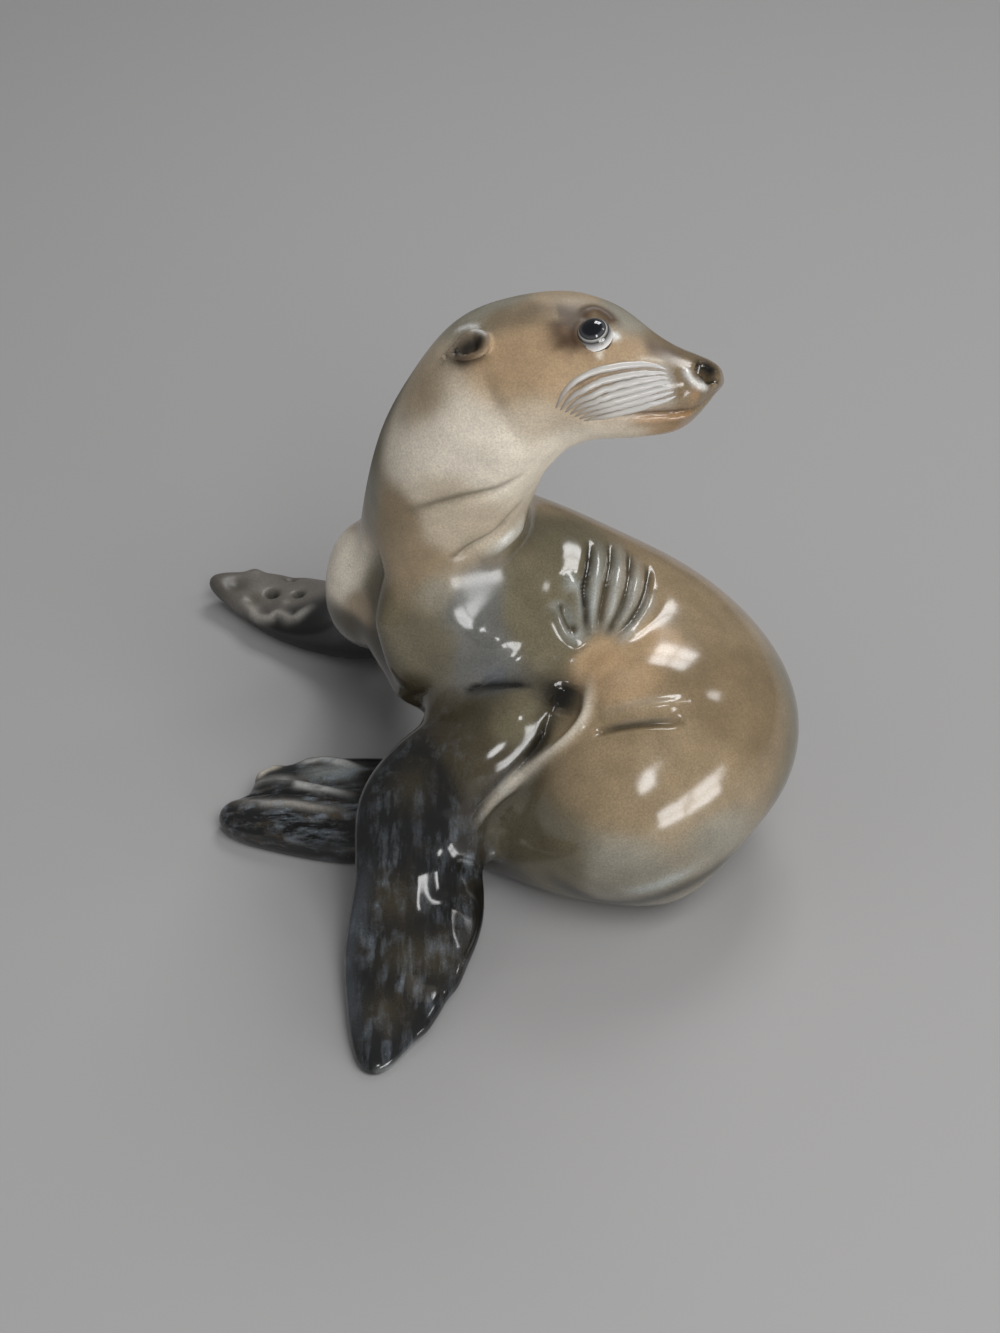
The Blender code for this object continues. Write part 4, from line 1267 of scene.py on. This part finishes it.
    def whisker_grooves(self, turn: Turn) -> list[list[np.ndarray]]:
        """Paths of the grooves between the whiskers of one side."""
        top, low = self.whisker_rows(turn)
        shares = (np.arange(self.whiskers - 1) + 0.5) / (self.whiskers - 1)
        return [self.anatomy.body.marks(top + (low - top) * share) for share in shares]

    def carve_face(self, chisel: Chisel, turn: Turn) -> None:
        """Brow, lids, nostril, mouth and whisker grooves of one side of the head."""
        body, a = self.anatomy.body, self.anatomy
        chisel.stroke(self.ring_marks(turn(a.EYE), self.lid_reach), 0.5, 0.9, ends=0)
        chisel.stroke(body.marks(map(turn, a.EAR), 5), -self.ear_hollow, 2.8, 2.5, 0.3)
        for cut in FACE_CUTS:
            chisel.stroke(body.marks(map(turn, cut.points)), *cut[1:])
        chisel.dab(body.skin_point(turn(a.MUZZLE_PAD)), 1.0, 6)
        for groove in self.whisker_grooves(turn):
            chisel.stroke(groove, -0.9, 0.7)

    def carve_forms(self, chisel: Chisel) -> None:
        """Broad swellings and hollows, which are smoothed afterwards."""
        body, a = self.anatomy.body, self.anatomy
        chisel.stroke(body.marks(a.STERNUM), -3.4, 5)
        chisel.stroke(body.marks(a.RUMP_UNDERCUT), -3.5, 12, ends=0.35)
        for place, height, radius in SWELLINGS:
            chisel.dab(place, height, radius)
        for groove in a.DIGIT_GROOVES:
            chisel.stroke(a.near_arm.marks(groove), -0.5, 2.4)
        for cut in FORM_CUTS:
            chisel.stroke(*cut)
        chance = np.random.default_rng(self.dent_seed)
        for _ in range(self.dents):
            mark = (chance.uniform(3, 9.5), chance.uniform(-60, 60))
            chisel.dab(a.near_arm.skin_point(mark), chance.uniform(-0.4, 0.4), 5)

    def carve_folds(self, chisel: Chisel) -> None:
        """Skin folds of the body, and creases, digits and dimples of the flippers."""
        chisel.stroke(self.anatomy.body.marks(self.anatomy.NECK_FOLD), -1.4, 1.5, 1.4, 0.35)
        for cut in FINE_CUTS:
            chisel.stroke(*cut)
        for place, depth, radius in FAR_HOLLOWS:
            chisel.dab(place, -depth, radius)

    def flat_foot(self, obj: bpy.types.Object) -> None:
        """Cuts the underside flat at the level of the table, so that the figure stands."""
        form = bmesh.new()
        form.from_mesh(obj.data)
        bmesh.ops.triangulate(form, faces=form.faces)
        everything = form.verts[:] + form.edges[:] + form.faces[:]
        level = (0, 0, self.foot_cut * MM)
        cut = bmesh.ops.bisect_plane(
            form, geom=everything, dist=1e-7, plane_co=level, plane_no=UP, clear_inner=True
        )
        rim = [edge for edge in cut["geom_cut"] if isinstance(edge, bmesh.types.BMEdge)]
        bmesh.ops.edgenet_fill(form, edges=rim)
        bmesh.ops.translate(form, verts=form.verts, vec=(0, 0, -self.foot_cut * MM))
        form.normal_update()
        form.to_mesh(obj.data)
        form.free()

    def build(self) -> bpy.types.Object:
        """Models the figurine.

        Returns:
            The finished mesh, unpainted.
        """
        a = self.anatomy
        limbs = [limb.build() for limb in a.limbs]
        clay = self.fused(limbs, "clay", self.clay_detail, self.joint_smoothing, self.fillet)
        chest = curve_through(a.body.marks(a.STERNUM))
        self.softened(clay, np.vstack((chest, curve_through(SHOULDER_SEAM))))
        chisel = Chisel(clay)
        for turn in (facing, mirrored):
            self.carve_socket(chisel, turn)
        self.carve_forms(chisel)
        chisel.finish()
        smooth(clay, self.form_smoothing)
        applied(clay)
        features = []
        for turn, lifts in ((facing, self.near_ear_lifts), (mirrored, self.far_ear_lifts)):
            features += [self.ear(turn, lifts).build(), self.eyeball(turn(a.EYE))]
        figure = self.fused(
            [clay, *features], "sea_lion_skin", self.skin_detail, self.skin_smoothing
        )
        chisel = Chisel(figure)
        for turn in (facing, mirrored):
            self.carve_face(chisel, turn)
        self.carve_folds(chisel)
        chisel.finish()
        smooth(figure, self.cut_smoothing)
        thin = figure.modifiers.new("thin", "DECIMATE")
        thin.ratio = min(1.0, self.triangles / (2 * len(figure.data.polygons)))
        smooth(figure, self.polishing)
        applied(figure)
        self.flat_foot(figure)
        figure.data.shade_smooth()
        return figure

    def paint_hollows(self, brush: Airbrush) -> None:
        """Shadows in the hollows of the far flipper, darkest in the deepest."""
        for place, depth, radius in FAR_HOLLOWS:
            if depth > self.deep_hollow:
                brush.puff(place, Ink.STONE, radius * 2.2, 0.4)
                brush.puff(place, Ink.SOOT, radius * 1.3, 1.0)
            elif depth > 0:
                brush.puff(place, Ink.MOSS, radius * 1.2, 0.5)

    def haze(self, brush: Airbrush) -> None:
        """The bluish bloom on the dark fore and hind flippers, on the fore flipper partly a painted
        reflection.
        """
        for place in GREY_DRIFTS_AND_REFLECTIONS:
            brush.cloud(place, 9, 0.6)
        for place in HAZE_STATIONS:
            for angle in HAZE_ANGLES:
                brush.cloud(self.anatomy.near_arm.skin_point((place, angle)), 12, 0.38)
        for place in HIND_HAZE:
            brush.cloud(place, 12, 1.3)

    def paint_face(self, brush: Airbrush, turn: Turn) -> None:
        """Colours of one side of the head, with painted shade in the ear's hollow and between the
        whiskers, and a painted highlight on the ear's rim.
        """
        body, a = self.anatomy.body, self.anatomy

        def line(
            marks: Iterable[Mark], ink: Ink, width: float, cover: float, lift: float = 0
        ) -> None:
            """Sprays along some marks."""
            brush.spray(body.marks(map(turn, marks), lift), ink, width, cover, 0.2)

        line(a.TEMPLE_SHADE, Ink.COCOA, 3.4, 0.85)
        line(a.CHEEK_SHADE, Ink.COCOA, 2.8, 0.75)
        line(a.TEMPLE_BACK, Ink.COCOA, 4.0, 0.95)
        brush.puff(body.skin_point(turn(a.TEMPLE_GLOW)), Ink.RUST, 1.3, 0.5)
        brush.spray(self.ring_marks(turn(a.EYE), self.lid_shade), Ink.COCOA, 1.8, 0.85, 0)
        line(a.UPPER_LID, Ink.COCOA, 2.4, 0.95)
        line(a.CHEEK_FOLD, Ink.OLIVE, 1.6, 0.15)
        line(a.LOWER_LID, Ink.WHITE, 0.6, 0.7)
        line(a.TEAR, Ink.WHITE, 1.1, 0.95)
        line(a.TEAR_STREAK, Ink.BONE, 0.9, 0.8)
        line(a.SNOUT_SHADE, Ink.COCOA, 2.6, 0.7)
        line(a.SNOUT_STRIPE, Ink.CREAM, 0.8, 0.7)
        # Painted shade in the ear's hollow, and a painted highlight along its rim
        line(a.EAR, Ink.SOOT, 3.6, 0.95, 0.5)
        line(a.EAR_RIM, Ink.WHITE, 0.9, 0.85, 2)
        line(a.MUZZLE_FRONT, Ink.RUST, 3.0, 0.45)
        line(a.CHIN, Ink.RUST, 4.0, 0.4)
        line(a.LIP, Ink.RUST, 1.8, 0.6)
        line(a.MOUTH, Ink.COCOA, 0.9, 0.95)
        line(a.PAD, Ink.WHITE, 4.4, 0.8)
        # Painted shade in the grooves between the whiskers
        for groove in self.whisker_grooves(turn):
            brush.spray(groove, Ink.COCOA, 0.7, 0.85, 0.35)
        line(a.NOSTRIL, Ink.SOOT, 2.3, 1.0)
        line(a.NOSTRIL_RIM, Ink.WHITE, 1.1, 0.95)

    def paint(self, figure: bpy.types.Object) -> None:
        """Sprays the underglaze colours, with painted shade, highlights and reflections among them."""
        brush = Airbrush(figure)
        brush.ground(GROUND)
        # Painted shade in the neck fold
        brush.spray(self.anatomy.body.marks(self.anatomy.NECK_FOLD), Ink.MOSS, 1.4, 0.6)
        brush.coat(BODY_COATS)
        self.paint_hollows(brush)
        self.haze(brush)
        brush.spray(EAR_SHADE, Ink.COCOA, 1.6, 0.7)
        for turn in (facing, mirrored):
            self.paint_face(brush, turn)
        for place, radius, amount in SATIN_ZONES:
            brush.satin(place, radius, amount)
        brush.finish()

    def make(self) -> bpy.types.Object:
        """Builds and dresses the figurine, in place of the plain one.

        Returns:
            The painted figurine.
        """
        figure = self.build()
        self.paint(figure)
        figure.data.materials.clear()
        figure.data.materials.append(PaintedPorcelain().material())
        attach(figure, BODY)
        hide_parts("sea_lion")
        return figure


@dataclass
class Eye:
    """One glossy eye, set over the bulge in its socket."""

    name: str
    centre: Point
    gaze: Point
    radius: float = 4.6
    rings: int = 24
    segments: int = 48

    def make(self) -> bpy.types.Object:
        """Builds a ball whose pole looks along the gaze, and dresses it."""
        form = bmesh.new()
        bmesh.ops.create_uvsphere(
            form, u_segments=self.segments, v_segments=self.rings, radius=self.radius * MM
        )
        turn = Vector(self.gaze).to_track_quat("Z", "Y").to_matrix().to_4x4()
        bmesh.ops.transform(form, matrix=turn, verts=form.verts)
        bmesh.ops.translate(form, verts=form.verts, vec=Vector(self.centre) * MM)
        mesh = mesh_from(form, self.name)
        mesh.shade_smooth()
        gaze = Vector(self.gaze).normalized()
        middle = Vector(self.centre) * MM
        angles = [(vertex.co - middle).angle(gaze) / (math.pi / 2) for vertex in mesh.vertices]
        layer = mesh.attributes.new("gaze_angle", "FLOAT", "POINT")
        layer.data.foreach_set("value", angles)
        eye = linked(self.name, mesh)
        mesh.materials.append(EyeGlaze().material())
        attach(eye, BODY)
        return eye


@dataclass
class Whiskers:
    """The strands of one side of the muzzle, laid on it as tapered white ridges."""

    name: str
    paths: list[np.ndarray]
    radius: float = 0.95
    sides: int = 12
    taper: tuple[Mark, ...] = ((0, 0.1), (0.15, 0.6), (0.4, 1), (0.7, 0.9), (0.9, 0.7), (1, 0.4))

    def tree(self, finish: bpy.types.Material) -> bpy.types.NodeTree:
        """The node tree that turns path edges into tapered strands.

        Args:
            finish: the strands' material.

        Returns:
            The tree, with the inputs Radius and Sides.
        """
        tree = bpy.data.node_groups.new("whisker_strands", "GeometryNodeTree")
        face = tree.interface
        face.new_socket("Geometry", in_out="INPUT", socket_type="NodeSocketGeometry")
        face.new_socket("Radius", in_out="INPUT", socket_type="NodeSocketFloat")
        face.new_socket("Sides", in_out="INPUT", socket_type="NodeSocketInt")
        face.new_socket("Geometry", in_out="OUTPUT", socket_type="NodeSocketGeometry")
        start = add(tree, "NodeGroupInput", {})
        curve = add(tree, "GeometryNodeMeshToCurve", {}, i0=start.outputs[0])
        share = add(tree, "GeometryNodeSplineParameter", {})
        taper = add(tree, "ShaderNodeFloatCurve", {}, i1=share.outputs["Factor"])
        points = taper.mapping.curves[0].points
        points[0].location = self.taper[0]
        points[1].location = self.taper[-1]
        for place, width in self.taper[1:-1]:
            points.new(place, width)
        taper.mapping.update()
        size = worked(tree, "MULTIPLY", taper.outputs[0], start.outputs["Radius"])
        settings = {"data_type": "FLOAT", "domain": "POINT", "Name": "share"}
        links = {"i0": curve.outputs[0], "Value": share.outputs["Factor"]}
        kept = add(tree, "GeometryNodeStoreNamedAttribute", settings, **links)
        settings = {"mode": "RADIUS", "Radius": 1.0}
        links = {"Resolution": start.outputs["Sides"]}
        ring = add(tree, "GeometryNodeCurvePrimitiveCircle", settings, **links)
        links = {"i0": kept.outputs[0], "Profile_Curve": ring.outputs[0], "Scale": size}
        tube = add(tree, "GeometryNodeCurveToMesh", {"Fill Caps": True}, **links)
        shaded = add(tree, "GeometryNodeSetShadeSmooth", {}, i0=tube.outputs[0])
        real = add(tree, "GeometryNodeRealizeInstances", {}, i0=shaded.outputs[0])
        clad = add(tree, "GeometryNodeSetMaterial", {"Material": finish}, i0=real.outputs[0])
        end = add(tree, "NodeGroupOutput", {})
        tree.links.new(clad.outputs[0], end.inputs[0])
        return tree

    def make(self) -> bpy.types.Object:
        """Lays the strands along their paths and makes them a plain mesh."""
        points = np.concatenate(self.paths) * MM
        edges, first = [], 0
        for path in self.paths:
            edges += [(first + k, first + k + 1) for k in range(len(path) - 1)]
            first += len(path)
        mesh = bpy.data.meshes.new(self.name)
        mesh.from_pydata([tuple(point) for point in points], edges, [])
        strands = linked(self.name, mesh)
        finish = WhiskerGlaze().material()
        modifier = strands.modifiers.new("strands", "NODES")
        modifier.node_group = self.tree(finish)
        inputs = {
            item.name: item.identifier
            for item in modifier.node_group.interface.items_tree
            if item.in_out == "INPUT"
        }
        modifier[inputs["Radius"]] = self.radius * MM
        modifier[inputs["Sides"]] = self.sides
        applied(strands)
        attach(strands, BODY)
        return strands


@dataclass(frozen=True)
class Softbox:
    """A rectangular lamp of several panes, aimed at the figurine from a direction.

    A lamp that is not mirrored lights the figurine but does not show in its glaze.
    """

    name: str
    azimuth: float
    elevation: float
    width: float
    height: float
    radiance: float
    distance: float = 0.9
    panes: int = 2
    bar: float = 0.1
    mirrored: bool = True
    target: Point = (-20, -10, 70)


@dataclass
class Studio:
    """Paper, lamps and camera."""

    focal: float = 76.27
    sensor_width: float = 36
    clip_start: float = 0.01
    camera_place: Point = (-28.33, -607.13, 522.33)
    camera_target: Point = (-28.33, 23.28, 29.80)
    ambient: float = 0.12
    floor_size: float = 8.0

    LAMPS = (
        Softbox("front_window", 138, 6, 0.66, 0.3, 7.5, 1.0),
        Softbox("back_window", 20, 52, 0.36, 0.36, 7.5, 0.9),
        Softbox("upper_front", 166, 38, 0.16, 0.22, 9, 0.9, 1),
        Softbox("right_high", 84, 47, 0.1, 0.16, 6, 0.9, 1),
        Softbox("front_fill", 150, 56, 1.2, 0.9, 4.1, 1.6, 1, mirrored=False),
        Softbox("low_fill", 175, 20, 1.6, 0.8, 0.8, 1.6, 1, mirrored=False),
        Softbox("left_fill", -110, 35, 1.5, 1.5, 0.5, 1.8, 1, mirrored=False),
    )

    def floor(self) -> bpy.types.Object:
        """The paper that the figurine stands on."""
        form = bmesh.new()
        bmesh.ops.create_grid(form, x_segments=8, y_segments=8, size=self.floor_size / 2)
        mesh = mesh_from(form, "studio_paper")
        mesh.materials.append(StudioPaper().material())
        paper = linked("studio_paper", mesh)
        return paper

    def lamp(self, box: Softbox) -> None:
        """Hangs one lamp."""
        azimuth, elevation = math.radians(box.azimuth), math.radians(box.elevation)
        level = math.cos(elevation)
        direction = Vector(
            (math.sin(azimuth) * level, math.cos(azimuth) * level, math.sin(elevation))
        )
        turn = direction.to_track_quat("Z", "Y")
        centring = Vector((1, 1, 0)) * (box.panes - 1) / 2
        middle = Vector(box.target) * MM + direction * box.distance
        size = Vector((box.width, box.height)) / box.panes
        for column in range(box.panes):
            for row in range(box.panes):
                light = bpy.data.lights.new(box.name, "AREA")
                light.shape = "RECTANGLE"
                light.size, light.size_y = size * (1 - box.bar)
                light.energy = box.radiance * math.pi * light.size * light.size_y
                lamp = linked(box.name, light)
                lamp.visible_glossy = box.mirrored
                step = Vector((column, row, 0)) - centring
                step = Vector((step.x * size.x, step.y * size.y, 0))
                lamp.location = middle + turn @ step
                lamp.rotation_euler = turn.to_euler()

    def world(self) -> None:
        """Even grey light from all round."""
        world = bpy.data.worlds.new("studio")
        bpy.context.scene.world = world
        world.use_nodes = True
        background = world.node_tree.nodes["Background"]
        background.inputs["Color"].default_value = (1, 1, 1, 1)
        background.inputs["Strength"].default_value = self.ambient

    def camera(self) -> None:
        """The camera at the photograph's angle."""
        data = bpy.data.cameras.new("portrait")
        data.sensor_width = self.sensor_width
        data.lens = self.focal
        data.clip_start = self.clip_start
        camera = linked("portrait", data)
        camera.location = Vector(self.camera_place) * MM
        line = Vector(self.camera_place) - Vector(self.camera_target)
        camera.rotation_euler = line.to_track_quat("Z", "Y").to_euler()
        bpy.context.scene.camera = camera

    def make(self) -> None:
        """Sets everything up."""
        bpy.context.scene.view_settings.view_transform = "Standard"
        self.world()
        self.floor()
        for box in self.LAMPS:
            self.lamp(box)
        self.camera()


def whisker_paths(figurine: Figurine, skin: Skin, turn: Turn) -> list[np.ndarray]:
    """Middle lines of the strands of one side, laid on the skin."""
    top, low = figurine.whisker_rows(turn)
    paths = []
    for share in np.linspace(0, 1, figurine.whiskers):
        marks = figurine.anatomy.body.marks(top + (low - top) * share)
        path = curve_through(marks, steps=6)
        paths.append(np.array([skin.sunk(point, figurine.whisker_sink) for point in path]))
    return paths


def main() -> None:
    """Builds the pieces in order."""
    logging.basicConfig(level=logging.INFO, format="%(message)s")
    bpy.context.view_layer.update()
    figurine = Figurine(Anatomy())
    figure = figurine.make()
    log.info("figurine: %d triangles", len(figure.data.polygons))
    body = figurine.anatomy.body
    skin = Skin(figure)
    for side, turn in (("near", facing), ("far", mirrored)):
        mark = turn(figurine.anatomy.EYE)
        centre = body.skin_point(mark, -figurine.eye_sink) - (0, 0, figurine.foot_cut)
        outward = body.skin_point(mark, 1) - body.skin_point(mark)
        eye = Eye(f"{side}_eye", tuple(centre), tuple(outward)).make()
        log.info("%s: %d triangles", eye.name, len(eye.data.polygons))
        paths = whisker_paths(figurine, skin, turn)
        strands = Whiskers(f"{side}_whiskers", paths).make()
        log.info("%s: %d triangles", strands.name, len(strands.data.polygons))
    Studio().make()


if __name__ == "__main__":
    main()
